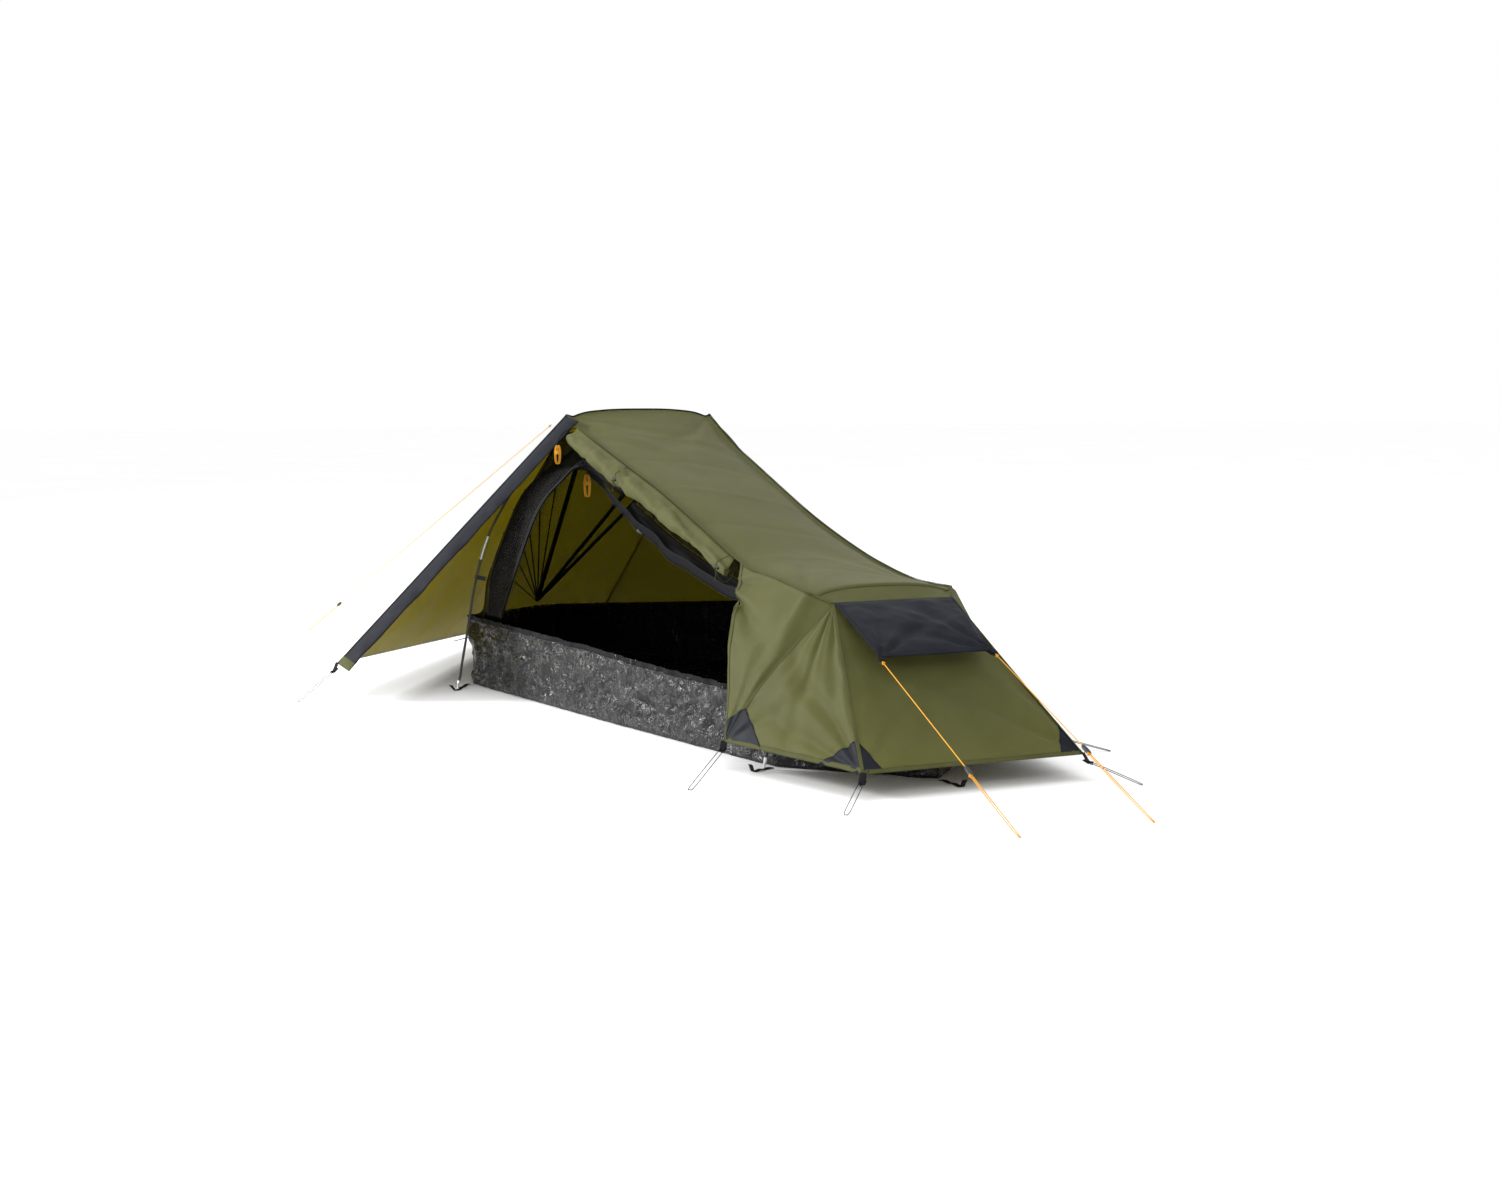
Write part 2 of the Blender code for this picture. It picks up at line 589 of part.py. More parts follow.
def lines_and_loops():
    tie = Vector((0.008, 0.0, -0.006))
    near = guyline("guyline_near", HOOD_CORNER + tie, FOOT_PEG)
    far = guyline("guyline_far", mirrored(HOOD_CORNER) + tie, mirrored(FOOT_PEG))
    rear = guyline("guyline_rear", Vector((-0.045, -0.300, 0.872)), REAR_PEG)
    tensioner("tensioner_near", near, 0.655)
    tensioner("tensioner_far", far, 0.600)
    tensioner("tensioner_rear", rear, 0.845)
    up = Vector((0.0, 0.0, 0.0022))
    drop = Vector((0.0, 0.0, -0.012))
    loops = (("flap", FLAP_TIP, FLAP_PEG), ("near_side", SIDE_HEM, SIDE_PEG),
             ("near_foot", FOOT_HEM, CORNER_PEG), ("far_foot", FAR_FOOT_HEM, mirrored(CORNER_PEG)),
             ("far_side", mirrored(SIDE_HEM), mirrored(SIDE_PEG)), ("head", HEAD_HEM, HEAD_PEG))
    for name, hem, peg in loops:
        start = hem + (peg - hem).normalized() * 0.012 + drop
        cord(f"peg_loop_{name}", loop_route(start, peg + up, 0.012), ELASTIC_R, "elastic", count=28)
    hank("hank_hoop", Vector((0.085, -0.325, 0.774)), 0.064, 0.024, 0.014)
    hank("hank_door", Vector((0.111, -0.232, 0.671)), 0.078, 0.026, 0.016)


def hardware(main_line, inner_top):
    clip_share = 0.150
    for name, share, towards in (("near", clip_share, 1.0), ("far", 1 - clip_share, -1.0)):
        centre = at(main_line, share)
        along = (at(main_line, share + 0.005) - at(main_line, share - 0.005)).normalized()
        inward = Vector((0.0, towards, 0.0))
        ring_clip(f"pole_clip_{name}", centre, along, (inward - along * inward.dot(along)).normalized())
    down = (FLAP_TIP - SHOULDER).normalized()
    across = flap_direction()
    behind = down.cross(across).normalized()
    if behind.y < 0:
        behind = -behind
    slider("fly_zip_slider", SHOULDER + down * 0.075 + across * 0.030 + behind * 0.008, down, behind)
    zip_run = (inner_top[9] - inner_top[6]).normalized()
    slider("inner_zip_slider", inner_top[6] + Vector((0.0, -0.050, -0.036)), zip_run,
           Vector((0.0, -1.0, 0.0)))
    for name, centre in TOGGLES.items():
        toggle(f"toggle_{name}", centre, Vector((1.0, 0.0, -0.35)).normalized())


def straps():
    """Webbing tabs that tie the floor to the pole feet and the end pegs."""
    foot_y = MAIN_HALF[-1][0]
    for name, turn in (("near", list), ("far", mirror_all)):
        main = turn([Vector((-0.118, -0.580, 0.0)), Vector((-0.06, -0.615, 0.0)),
                     Vector((0.0, -foot_y, 0.0)), Vector((0.022, -foot_y - 0.032, 0.0))])
        strap(f"main_webbing_{name}", main, 0.014, "webbing")
        foot = turn([Vector((1.676, -0.312, 0.0)), Vector((HOOP_GAP, -0.342, 0.0)),
                     Vector((1.712, -0.392, 0.0))])
        strap(f"foot_webbing_{name}", foot, 0.014, "webbing")
    strap("webbing_foot_tip", [(2.009, 0.0, 0.0), (2.060, 0.0, 0.0), (2.125, 0.0, 0.0)], 0.015, "webbing")


def build():
    clear_scene()
    main_line = pole("main", 0.0, MAIN_HALF, [0.190, 0.810])
    pole("foot", HOOP_GAP, FOOT_HALF, [0.245, 0.755])
    edges = fly_edges()
    fly(edges)
    door_parts(edges)
    vent()
    bathtub()
    inner_top = inner_tent()
    lines_and_loops()
    hardware(main_line, inner_top)
    straps()


build()
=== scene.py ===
"""Looks of the one-person frame tent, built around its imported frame.

Frame: metres, +Z up, +X from the main hoop towards the foot end, -Y towards the door. "Near" is the door
side (-Y) and "far" the other (+Y). Poles, ferrules, tips, clips, toggles and line runners are the frame's
own parts with better finishes; every cloth panel, strap and line is made here in its place.
"""
import bmesh
import bpy
import json
import math
import numpy as np
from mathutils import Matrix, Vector, noise
from mathutils.bvhtree import BVHTree


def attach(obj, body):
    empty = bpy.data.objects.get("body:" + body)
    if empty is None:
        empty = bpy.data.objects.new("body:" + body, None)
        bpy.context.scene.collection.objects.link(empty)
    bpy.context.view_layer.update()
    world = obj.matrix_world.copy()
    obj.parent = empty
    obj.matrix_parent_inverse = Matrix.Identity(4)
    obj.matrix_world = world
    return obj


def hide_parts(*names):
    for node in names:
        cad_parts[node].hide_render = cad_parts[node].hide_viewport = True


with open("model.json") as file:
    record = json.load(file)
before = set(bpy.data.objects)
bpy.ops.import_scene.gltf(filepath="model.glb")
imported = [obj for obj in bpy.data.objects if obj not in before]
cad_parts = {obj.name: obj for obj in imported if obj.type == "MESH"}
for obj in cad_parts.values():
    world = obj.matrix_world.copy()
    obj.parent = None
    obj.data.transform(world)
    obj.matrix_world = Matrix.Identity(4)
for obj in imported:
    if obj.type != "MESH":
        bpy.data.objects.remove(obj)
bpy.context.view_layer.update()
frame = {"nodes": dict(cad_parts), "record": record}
TENT = "tent"

# Sizes that the frame's parts have, in metres. A sag is a list of (share of the edge, drop).
HOOP_GAP = 1.69
OVER_POLE = 0.012         # from the pole's middle to the fly
NEAR_SAG = [(0.0, 0.0), (0.06, 0.014), (0.30, 0.021), (0.45, 0.023), (0.61, 0.039), (0.77, 0.055),
            (0.90, 0.022), (1.0, 0.0)]
FAR_SAG = [(0.0, 0.0), (0.12, 0.038), (0.25, 0.056), (0.37, 0.071), (0.50, 0.084), (0.63, 0.085),
           (0.75, 0.076), (0.88, 0.050), (1.0, 0.0)]
INNER_SAG = 0.085
FLAP_WIDE = 0.085
WALL_LEAN = 0.008
LINE_D = 0.0025           # guyline
ELASTIC_D = 0.0020        # peg loops
CLOTH = 0.0006            # fly cloth, thicker than the real 0.1 mm so that its edges show
MAIN_HALF = [(0.0, 0.912), (0.13, 0.909), (0.225, 0.893), (0.305, 0.840), (0.393, 0.742),
             (0.478, 0.618), (0.543, 0.500), (0.585, 0.360), (0.615, 0.200), (0.652, 0.0045)]
FOOT_HALF = [(0.0, 0.462), (0.12, 0.457), (0.195, 0.436), (0.250, 0.375), (0.283, 0.280),
             (0.312, 0.140), (0.342, 0.0045)]
FLOOR_NEAR = [(-0.900, 0.0, 0.172), (-0.110, -0.565, 0.235), (0.789, -0.443, 0.215),
              (1.200, -0.378, 0.200), (1.670, -0.300, 0.190), (2.000, 0.0, 0.150)]


def xyz(*values):
    return np.array(values, float)


SHOULDER = xyz(0.0, -0.262, 0.905)
FLAP_TIP = xyz(0.0, -1.050, 0.112)
HEAD_HEM = xyz(-1.120, -0.250, 0.050)
HOOP_HEM = xyz(0.0, -0.690, 0.050)
SIDE_HEM = xyz(1.635, -0.430, 0.070)
FOOT_HEM = xyz(2.150, -0.300, 0.065)
FAR_FOOT_HEM = xyz(2.150, 0.331, 0.065)
FOOT_SHOULDER = xyz(HOOP_GAP, -0.215, 0.456)
VENT_CORNER = xyz(1.760, -0.178, 0.432)
HOOD_CORNER = xyz(1.985, -0.165, 0.318)
DOOR_FROM_X = 1.300
ROLL_BELOW = xyz(0.0, -0.022, -0.038)
TOGGLES = {"upper": xyz(0.553, -0.310, 0.711), "lower": xyz(1.265, -0.284, 0.493)}
FOOT_PEG = xyz(2.650, -0.180, 0.0)
REAR_PEG = xyz(-1.870, -0.730, 0.0)
FLAP_PEG = xyz(0.050, -1.190, 0.0)
SIDE_PEG = xyz(1.858, -0.624, 0.0)
CORNER_PEG = xyz(2.283, -0.418, 0.0)
HEAD_PEG = xyz(-1.260, -0.290, 0.0)
INNER_SHOULDER = xyz(0.020, -0.205, 0.815)
INNER_FOOT_SHOULDER = xyz(1.520, -0.170, 0.420)
INNER_LEG = [(0.0, -0.548, 0.245), (0.0, -0.530, 0.390), (0.0, -0.462, 0.560), (0.005, -0.402, 0.665),
             (0.010, -0.298, 0.750)]
ZIP_CURVE = [(0.115, -0.534, 0.243), (0.190, -0.495, 0.430), (0.225, -0.437, 0.601), (0.235, -0.365, 0.690),
             (0.250, -0.282, 0.745)]
DOOR_END_X = 1.480
FAR = xyz(1.0, -1.0, 1.0)
UP = xyz(0.0, 0.0, 1.0)


# Lines and surfaces.

def unit(v):
    return v / max(np.linalg.norm(v), 1e-12)


def unit_rows(v):
    return v / np.maximum(np.linalg.norm(v, axis=-1, keepdims=True), 1e-12)


def smooth(x):
    x = np.clip(x, 0.0, 1.0)
    return x * x * (3 - 2 * x)


def spline(points, per_span=10):
    """A smooth curve through the points (Catmull-Rom)."""
    pts = np.array([np.array(p, float) for p in points])
    if len(pts) < 3:
        return pts
    ends = np.vstack([pts[0] * 2 - pts[1], pts, pts[-1] * 2 - pts[-2]])
    t = np.linspace(0.0, 1.0, per_span, endpoint=False)[:, None]
    curve = []
    for a, b, c, d in zip(ends, ends[1:], ends[2:], ends[3:]):
        curve.append(0.5 * (2 * b + (c - a) * t + (2 * a - 5 * b + 4 * c - d) * t * t
                            + (3 * b - a - 3 * c + d) * t ** 3))
    return np.vstack(curve + [pts[-1:]])


def run(line):
    """Length along a line at each of its points."""
    return np.concatenate([[0.0], np.cumsum(np.linalg.norm(np.diff(line, axis=0), axis=1))])


def spaced(line, count, start=0.0, end=1.0):
    """count points evenly spaced from one share of the line's length to another."""
    line = np.asarray(line, float)
    along = run(line)
    want = np.linspace(start, end, count) * along[-1]
    return np.stack([np.interp(want, along, line[:, k]) for k in range(3)], axis=1)


def at(line, share):
    return spaced(line, 2, share, share)[0]


def directions(line):
    """Unit directions along a line, at each of its points."""
    ends = np.vstack([line[0] * 2 - line[1], line, line[-1] * 2 - line[-2]])
    return unit_rows(ends[2:] - ends[:-2])


def over_hoop(x, half):
    """The fly's line over a hoop pole, from its near foot over the top to its far foot."""
    line = spline([(x, -y, z) for y, z in reversed(half)] + [(x, y, z) for y, z in half[1:]], 8)
    return line - OVER_POLE * np.cross(directions(line), xyz(1.0, 0.0, 0.0))


def part_of(line, a, b):
    """The stretch of a line between its points nearest to two places."""
    i = int(np.argmin(np.linalg.norm(line - a, axis=1)))
    j = int(np.argmin(np.linalg.norm(line - b, axis=1)))
    stretch = line[i:j + 1] if i < j else line[j:i + 1][::-1]
    return np.vstack([a, stretch[1:-1], b])


def coons(bottom, top, left, right, across, up):
    """A grid of points over four edges: row 0 is the bottom edge, column 0 the left edge."""
    b, t = spaced(bottom, across + 1), spaced(top, across + 1)
    l, r = spaced(left, up + 1), spaced(right, up + 1)
    u = np.linspace(0, 1, across + 1)[None, :, None]
    v = np.linspace(0, 1, up + 1)[:, None, None]
    ruled = b[None] * (1 - v) + t[None] * v + l[:, None] * (1 - u) + r[:, None] * u
    flat = b[0] * (1 - u) * (1 - v) + b[-1] * u * (1 - v) + t[0] * (1 - u) * v + t[-1] * u * v
    return ruled - flat


def facing(grid, out):
    """Unit normals of a grid that point to the side of out."""
    n = np.cross(np.gradient(grid, axis=1), np.gradient(grid, axis=0))
    size = np.linalg.norm(n, axis=2, keepdims=True)
    mean = unit(n.sum((0, 1)))
    n = np.where(size > 1e-12, n / np.maximum(size, 1e-12), mean)
    return n if mean @ out > 0 else -n


def lengths_on(grid, axis):
    steps = np.linalg.norm(np.diff(grid, axis=axis), axis=2)
    total = np.cumsum(steps, axis=axis)
    return np.insert(total, 0, 0.0, axis=axis)


def edge_fade(grid, reach, free=""):
    """0 on a grid's edges and 1 further in than reach; free names edges that stay loose (l, r, b, t)."""
    u, v = lengths_on(grid, 1), lengths_on(grid, 0)
    nearest = np.full(u.shape, 9.0)
    for letter, gap in (("l", u), ("r", u[:, -1:] - u), ("b", v), ("t", v[-1:] - v)):
        if letter not in free:
            nearest = np.minimum(nearest, gap)
    return smooth(nearest / reach)


def cloudy(points, size, seed=0.0, octaves=1):
    """Soft noise from -1 to 1 with features of about one size, for each point."""
    flat = points.reshape(-1, 3) / size + seed
    total = np.zeros(len(flat))
    for k in range(octaves):
        total += np.array([noise.noise(Vector(p)) for p in flat * 2.03 ** k]) / 1.8 ** k
    return total.reshape(points.shape[:-1])


def fan(anchor, toward, waves, reach, height, spread=1.0, phase=0.0):
    """Tension folds that fan out from an anchor; highest at reach, gone beyond a few times it."""
    def folds(points, normal):
        d = points - anchor
        ahead = unit(toward - anchor)
        side = unit(np.cross(normal, ahead))
        r = np.linalg.norm(d, axis=2)
        angle = np.arctan2(d @ side, d @ ahead)
        inside = np.cos(np.clip(angle / spread, -1, 1) * math.pi / 2) ** 2
        swell = (r / reach) * np.exp(1 - r / reach)
        turn = waves * angle + phase + 0.8 * cloudy(points, 0.11, phase)
        return height * swell * inside * (np.sin(turn) + 0.35 * np.sin(2 * turn + 0.9))
    return folds


def ripples(size, height, seed):
    """All-over soft unevenness."""
    def folds(points, normal):
        return height * cloudy(points, size, seed, 2)
    return folds


def creases(places, slant, wide, height):
    """Packing creases across the cloth at several x, as narrow soft ridges and grooves."""
    def folds(points, normal):
        total = np.zeros(points.shape[:2])
        for k, x in enumerate(places):
            gap = points[..., 0] - x - slant * (points[..., 1] + 0.05 * math.sin(3.0 * k))
            total += height * (-1) ** k * np.exp(-(gap / wide) ** 2)
        return total
    return folds


# Materials.

def linear(hex_colour):
    """An sRGB hex colour as linear RGBA."""
    parts = [int(hex_colour[i:i + 2], 16) / 255 for i in (1, 3, 5)]
    return (*[p / 12.92 if p <= 0.04045 else ((p + 0.055) / 1.055) ** 2.4 for p in parts], 1.0)


def add(tree, kind, settings=None, inputs=None):
    """Adds a node with its settings, and its inputs as values or as sockets to link."""
    made = tree.nodes.new(kind)
    for key, value in (settings or {}).items():
        setattr(made, key, value)
    for key, value in (inputs or {}).items():
        if isinstance(value, bpy.types.NodeSocket):
            tree.links.new(value, made.inputs[key])
        else:
            made.inputs[key].default_value = value
    return made


def new_material(name, **sockets):
    """A material whose shader has these plain socket values; returns its tree and shader too."""
    made = bpy.data.materials.new(name)
    made.use_nodes = True
    tree = made.node_tree
    shader = tree.nodes["Principled BSDF"]
    for key, value in sockets.items():
        shader.inputs[key.replace("_", " ")].default_value = value
    return made, tree, shader


def maps(tree):
    """The piece's own flat map in metres, and its place in space."""
    cloth = add(tree, "ShaderNodeUVMap", {"uv_map": "cloth"})
    return cloth.outputs["UV"], add(tree, "ShaderNodeTexCoord").outputs["Object"]


def wave(tree, place, direction, pitch, inputs=None):
    """Bands this many metres apart, for threads and ribs."""
    return add(tree, "ShaderNodeTexWave", {"bands_direction": direction},
               {"Vector": place, "Scale": math.pi / 10 / pitch, **(inputs or {})}).outputs["Fac"]


def both(tree, operation, first, second):
    """Two patterns taken together."""
    return add(tree, "ShaderNodeMath", {"operation": operation}, {0: first, 1: second}).outputs["Value"]


def tinted(tree, shader, place, first, second, size, detail=3.0):
    """Base colour that drifts between two close tones in patches of about one size."""
    patchy = add(tree, "ShaderNodeTexNoise", None,
                 {"Vector": place, "Scale": 1 / size, "Detail": detail, "Roughness": 0.6})
    spread = add(tree, "ShaderNodeMapRange", None,
                 {"Value": patchy.outputs["Fac"], "From Min": 0.32, "From Max": 0.68})
    tone = add(tree, "ShaderNodeMix", {"data_type": "RGBA"},
               {"Factor": spread.outputs["Result"], "A": linear(first), "B": linear(second)})
    tree.links.new(tone.outputs["Result"], shader.inputs["Base Color"])
    return patchy


def relief(tree, shader, layers):
    """Stacks bump layers, each (height socket, depth in metres, strength)."""
    below = None
    for height, depth, strength in layers:
        inputs = {"Height": height, "Distance": depth, "Strength": strength}
        if below is not None:
            inputs["Normal"] = below.outputs["Normal"]
        below = add(tree, "ShaderNodeBump", None, inputs)
    tree.links.new(below.outputs["Normal"], shader.inputs["Normal"])


def varied_roughness(tree, shader, source, low, high):
    between = add(tree, "ShaderNodeMapRange", None,
                  {"Value": source, "From Min": 0.3, "From Max": 0.7, "To Min": low, "To Max": high})
    tree.links.new(between.outputs["Result"], shader.inputs["Roughness"])


def woven(name, first, second, thread, rough, weave_depth, sheen=0.0, crumple=0.0, size=0.16, shine=0.08,
          **sockets):
    """Plain-weave cloth: crossed threads that follow the piece's own map, uneven dye and slubs."""
    made, tree, shader = new_material(name, IOR=1.5, Sheen_Weight=sheen, Sheen_Roughness=0.5,
                                      Specular_IOR_Level=shine, **sockets)
    cloth, solid = maps(tree)
    patchy = tinted(tree, shader, solid, first, second, size)
    uneven = {"Distortion": 0.6, "Detail Scale": 1.5}
    crossed = both(tree, "MULTIPLY", wave(tree, cloth, "X", thread, uneven),
                   wave(tree, cloth, "Y", thread, uneven))
    slub = add(tree, "ShaderNodeTexNoise", None, {"Vector": cloth, "Scale": 1 / 0.006, "Detail": 2.0})
    layers = [(crossed, weave_depth, 0.5), (slub.outputs["Fac"], 0.00012, 0.35)]
    if crumple:
        soft = add(tree, "ShaderNodeTexNoise", None,
                   {"Vector": solid, "Scale": 1 / 0.045, "Detail": 4.0, "Roughness": 0.55})
        layers.append((soft.outputs["Fac"], crumple, 0.6))
    relief(tree, shader, layers)
    varied_roughness(tree, shader, patchy.outputs["Fac"], rough - 0.05, rough + 0.08)
    return made


# Fly cloth: coated polyester taffeta. Threads are 0.25 mm apart on the real cloth and 1.2 mm here, as fine
# as shows; the dye is slightly uneven and the face has a dull sheen.
# Daylight passes through it, so its shaded side glows: a scattering depth of a few millimetres.
GLOW = {"Subsurface_Weight": 0.28, "Subsurface_Radius": (0.006, 0.0055, 0.002), "Subsurface_Scale": 1.0}
FLY_OUT = woven("polyester_taffeta_olive", "#4a4b29", "#515230", 0.0012, 0.55, 0.00012, 0.02, 0.0012, **GLOW)
# Its inside has a clear polyurethane coating over the yellower back of the weave: smoother, a bit glossier.
FLY_IN = woven("polyurethane_coating_olive", "#645d23", "#6c652a", 0.0012, 0.48, 0.00006, 0.0, 0.0010, **GLOW)
# Navy panels: the same taffeta in a darker dye, with patches a shade lighter from rubbing and dust.
NAVY = woven("polyester_taffeta_navy", "#191b21", "#202229", 0.0012, 0.50, 0.00012, 0.0, 0.0014, 0.06)
# Ribbon on hems and round the inner door: grosgrain with 1.5 mm ribs across.
RIBBON = woven("polyester_ribbon_navy", "#0b0c10", "#121317", 0.0015, 0.62, 0.00020, 0.0, 0.0, 0.03, 0.12)
# Webbing: heavy black ribs, matt, greyer in rubbed patches.
WEBBING = woven("polyester_webbing_black", "#0e0e10", "#1a1a1d", 0.0022, 0.80, 0.00045, 0.0, 0.0, 0.02, 0.15)
# Seam tape and hem folds: fly cloth folded double, so a shade deeper.
SEAM = woven("polyester_taffeta_seam", "#464726", "#4d4e2d", 0.0012, 0.58, 0.00012, 0.02, 0.0006, 0.05)


def laminated_polyethylene(name, first, second, crumple, shine):
    """Woven polyethylene tapes 2.5 mm wide under a film, crinkled all over, with wet-looking glints."""
    made, tree, shader = new_material(name, IOR=1.51, Specular_IOR_Level=shine)
    cloth, solid = maps(tree)
    patchy = tinted(tree, shader, solid, first, second, 0.03, 5.0)
    crossed = both(tree, "MULTIPLY", wave(tree, cloth, "X", 0.0025), wave(tree, cloth, "Y", 0.0025))
    crinkle = add(tree, "ShaderNodeTexVoronoi", {"feature": "DISTANCE_TO_EDGE"},
                  {"Vector": solid, "Scale": 1 / 0.042, "Randomness": 1.0})
    fine = add(tree, "ShaderNodeTexNoise", None,
               {"Vector": solid, "Scale": 1 / 0.028, "Detail": 3.0, "Roughness": 0.55, "Distortion": 1.2})
    relief(tree, shader, [(crossed, 0.00018, 0.4), (crinkle.outputs["Distance"], 0.012, crumple),
                          (fine.outputs["Fac"], 0.012, crumple)])
    varied_roughness(tree, shader, patchy.outputs["Fac"], 0.18, 0.34)
    return made


# Tray floor: outside shows the film's glints; inside is the same cloth with painted shade, darker and duller
# than the outside because it lies in the dark.
TRAY_OUT = laminated_polyethylene("laminated_polyethylene_black", "#0a0a0c", "#131316", 0.9, 0.40)
# The inside's darker tones and lower shine are painted shade, not a different cloth.
TRAY_IN_PAINTED_SHADE = laminated_polyethylene("laminated_polyethylene_inside_painted_shade", "#08080a", "#0d0d0f", 0.3, 0.12)


NET_CELL = 0.0024         # real holes are 0.6 mm, drawn larger so that they show


def insect_mesh(name, colour, cover):
    """Fine knitted net; cover is the share that is opaque."""
    made, tree, shader = new_material(name, Roughness=0.8, IOR=1.5, Specular_IOR_Level=0.1)
    cloth, solid = maps(tree)
    tinted(tree, shader, solid, colour, "#1c1c1c", 0.05)
    net = both(tree, "MAXIMUM", wave(tree, cloth, "DIAGONAL", NET_CELL), wave(tree, cloth, "Y", NET_CELL))
    veil = add(tree, "ShaderNodeMapRange", None,
               {"Value": net, "From Min": 0.2, "From Max": 1.0,
                "To Min": cover - 0.18, "To Max": cover + 0.12})
    tree.links.new(veil.outputs["Result"], shader.inputs["Alpha"])
    relief(tree, shader, [(net, 0.0003, 0.5)])
    return made


MESH = insect_mesh("knitted_insect_mesh_black", "#101010", 0.42)
# The front wall hangs slack in close folds, so its net closes up.
MESH_SLACK = insect_mesh("knitted_insect_mesh_slack", "#0c0c0c", 0.74)
# The same net where many layers lie together: nothing shows through it.
NET_ROLL = woven("knitted_net_gathered", "#0c0c0d", "#151516", NET_CELL, 0.75, 0.00030, 0.0, 0.0012, 0.05, 0.10)


def braided(name, first, second, pitch, rough, lumps=0.0003):
    """Braided cord: diamonds of strand that follow the cord, in two tones; the first, darker tone lies in the
    grooves between strands as painted shade.
    """
    made, tree, shader = new_material(name, IOR=1.5, Specular_IOR_Level=0.12)
    along = add(tree, "ShaderNodeUVMap", {"uv_map": "cloth"}).outputs["UV"]
    flipped = add(tree, "ShaderNodeMapping", None, {"Vector": along, "Scale": (-1.0, 1.0, 1.0)})
    strands = both(tree, "MULTIPLY", wave(tree, along, "DIAGONAL", pitch),
                   wave(tree, flipped.outputs["Vector"], "DIAGONAL", pitch))
    # painted shade: the darker first tone where the strands dip into grooves, the second on their crowns
    tone = add(tree, "ShaderNodeMix", {"data_type": "RGBA"},
               {"Factor": strands, "A": linear(first), "B": linear(second)})
    tree.links.new(tone.outputs["Result"], shader.inputs["Base Color"])
    relief(tree, shader, [(strands, lumps, 0.8)])
    varied_roughness(tree, shader, strands, rough, rough + 0.1)
    return made


# Guyline: 2.5 mm braided polyester in orange yellow, with painted shade between the strands.
GUYLINE = braided("braided_polyester_orange", "#d9931f", "#ffc95c", 0.0016, 0.6)
# Peg loops: cotton-covered rubber, black, with a fine braid.
ELASTIC = braided("covered_elastic_black", "#08080a", "#19191b", 0.0012, 0.7)
# The toggles' loops: thin olive cord.
LOOP_CORD = braided("braided_cord_olive", "#33341c", "#55563a", 0.0012, 0.7)
# Sewing thread: bonded polyester, with the twist too fine to show.
THREAD_OLIVE = braided("bonded_thread_olive", "#3f4024", "#5c5d3a", 0.0009, 0.5, 0.00005)
THREAD_BLACK = braided("bonded_thread_black", "#101012", "#26262a", 0.0009, 0.5, 0.00005)


def moulded(name, first, second, rough, grain, depth, metal=0.0, streak=1.0, **sockets):
    """A hard part's finish: grain noise, drawn out along Z by streak."""
    made, tree, shader = new_material(name, Metallic=metal, **sockets)
    solid = add(tree, "ShaderNodeTexCoord").outputs["Object"]
    drawn = add(tree, "ShaderNodeMapping", None, {"Vector": solid, "Scale": (1.0, 1.0, 1.0 / streak)})
    patchy = tinted(tree, shader, drawn.outputs["Vector"], first, second, grain)
    relief(tree, shader, [(patchy.outputs["Fac"], depth, 0.5)])
    varied_roughness(tree, shader, patchy.outputs["Fac"], rough - 0.06, rough + 0.1)
    return made


# Pole: pultruded glass fibre under black resin; fibres run along it in 0.5 mm streaks, satin gloss.
POLE = moulded("glass_fibre_black", "#161617", "#232325", 0.36, 0.0006, 0.00005, streak=40.0, IOR=1.55)
# Ferrules and tips: zinc-plated drawn steel tube, with faint drawing marks along it.
STEEL = moulded("zinc_plated_steel", "#b9bcc0", "#d2d4d6", 0.30, 0.0008, 0.00003, metal=1.0, streak=20.0)
# Zip sliders: die-cast zinc, nickel plated, slightly orange-peeled.
CAST = moulded("die_cast_zinc", "#a3a5a8", "#c2c4c6", 0.28, 0.0020, 0.00004, metal=1.0)
# Clips, runners and toggles: injection-moulded acetal with a fine spark-eroded grain.
ACETAL = moulded("moulded_acetal_black", "#141415", "#1e1e20", 0.42, 0.0007, 0.00006, IOR=1.48)


# Making pieces.

made_sheets = {}          # each sheet's object
sheets = {}               # each sheet's facts, with the pieces that are sewn on it
STITCH_PITCH = 0.0042
STITCH_SIZE = (0.0009, 0.0009, 0.0034)
STITCH_IN = 0.0015        # stitch row's distance from an edge
LAYER = 0.0005            # thickness of a patch
PATCH_LIFT = 0.0012       # a patch's distance from its panel's middle


def finish_piece(piece, nodes=()):
    """Everything made here rides on the tent itself; the moving parts are the frame's own."""
    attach(piece, TENT)
    if nodes:
        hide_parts(*nodes)
    return piece


def in_scene(name, data):
    made = bpy.data.objects.new(name, data)
    bpy.context.scene.collection.objects.link(made)
    return made


def mesh_object(name, points, faces, materials, uv):
    """An object at the origin from points and faces, with a map "cloth" from uv per point."""
    mesh = bpy.data.meshes.new(name)
    mesh.from_pydata(np.asarray(points).tolist(), [], faces)
    for each in materials:
        mesh.materials.append(each)
    layer = mesh.uv_layers.new(name="cloth")
    corners = np.zeros(len(mesh.loops), np.int32)
    mesh.loops.foreach_get("vertex_index", corners)
    layer.data.foreach_set("uv", np.asarray(uv, np.float32)[corners].ravel())
    mesh.shade_smooth()
    return in_scene(name, mesh)


def grid_faces(rows, columns, flip):
    index = np.arange(rows * columns).reshape(rows, columns)
    corners = [index[:-1, :-1], index[:-1, 1:], index[1:, 1:], index[1:, :-1]]
    quads = np.stack(corners, axis=2).reshape(-1, 4)
    return (quads[:, ::-1] if flip else quads).tolist()


def thicken(piece, thick, inside):
    """Real thickness behind a piece's face; inside is the material number of its back."""
    wall = piece.modifiers.new("wall", "SOLIDIFY")
    wall.thickness = thick
    wall.offset = -1.0
    wall.use_even_offset = True
    wall.thickness_clamp = 1.0
    wall.material_offset = inside
    return piece


def area_of(grid):
    a, b, c, d = grid[:-1, :-1], grid[:-1, 1:], grid[1:, 1:], grid[1:, :-1]
    return 0.5 * np.linalg.norm(np.cross(c - a, d - b), axis=2).sum()


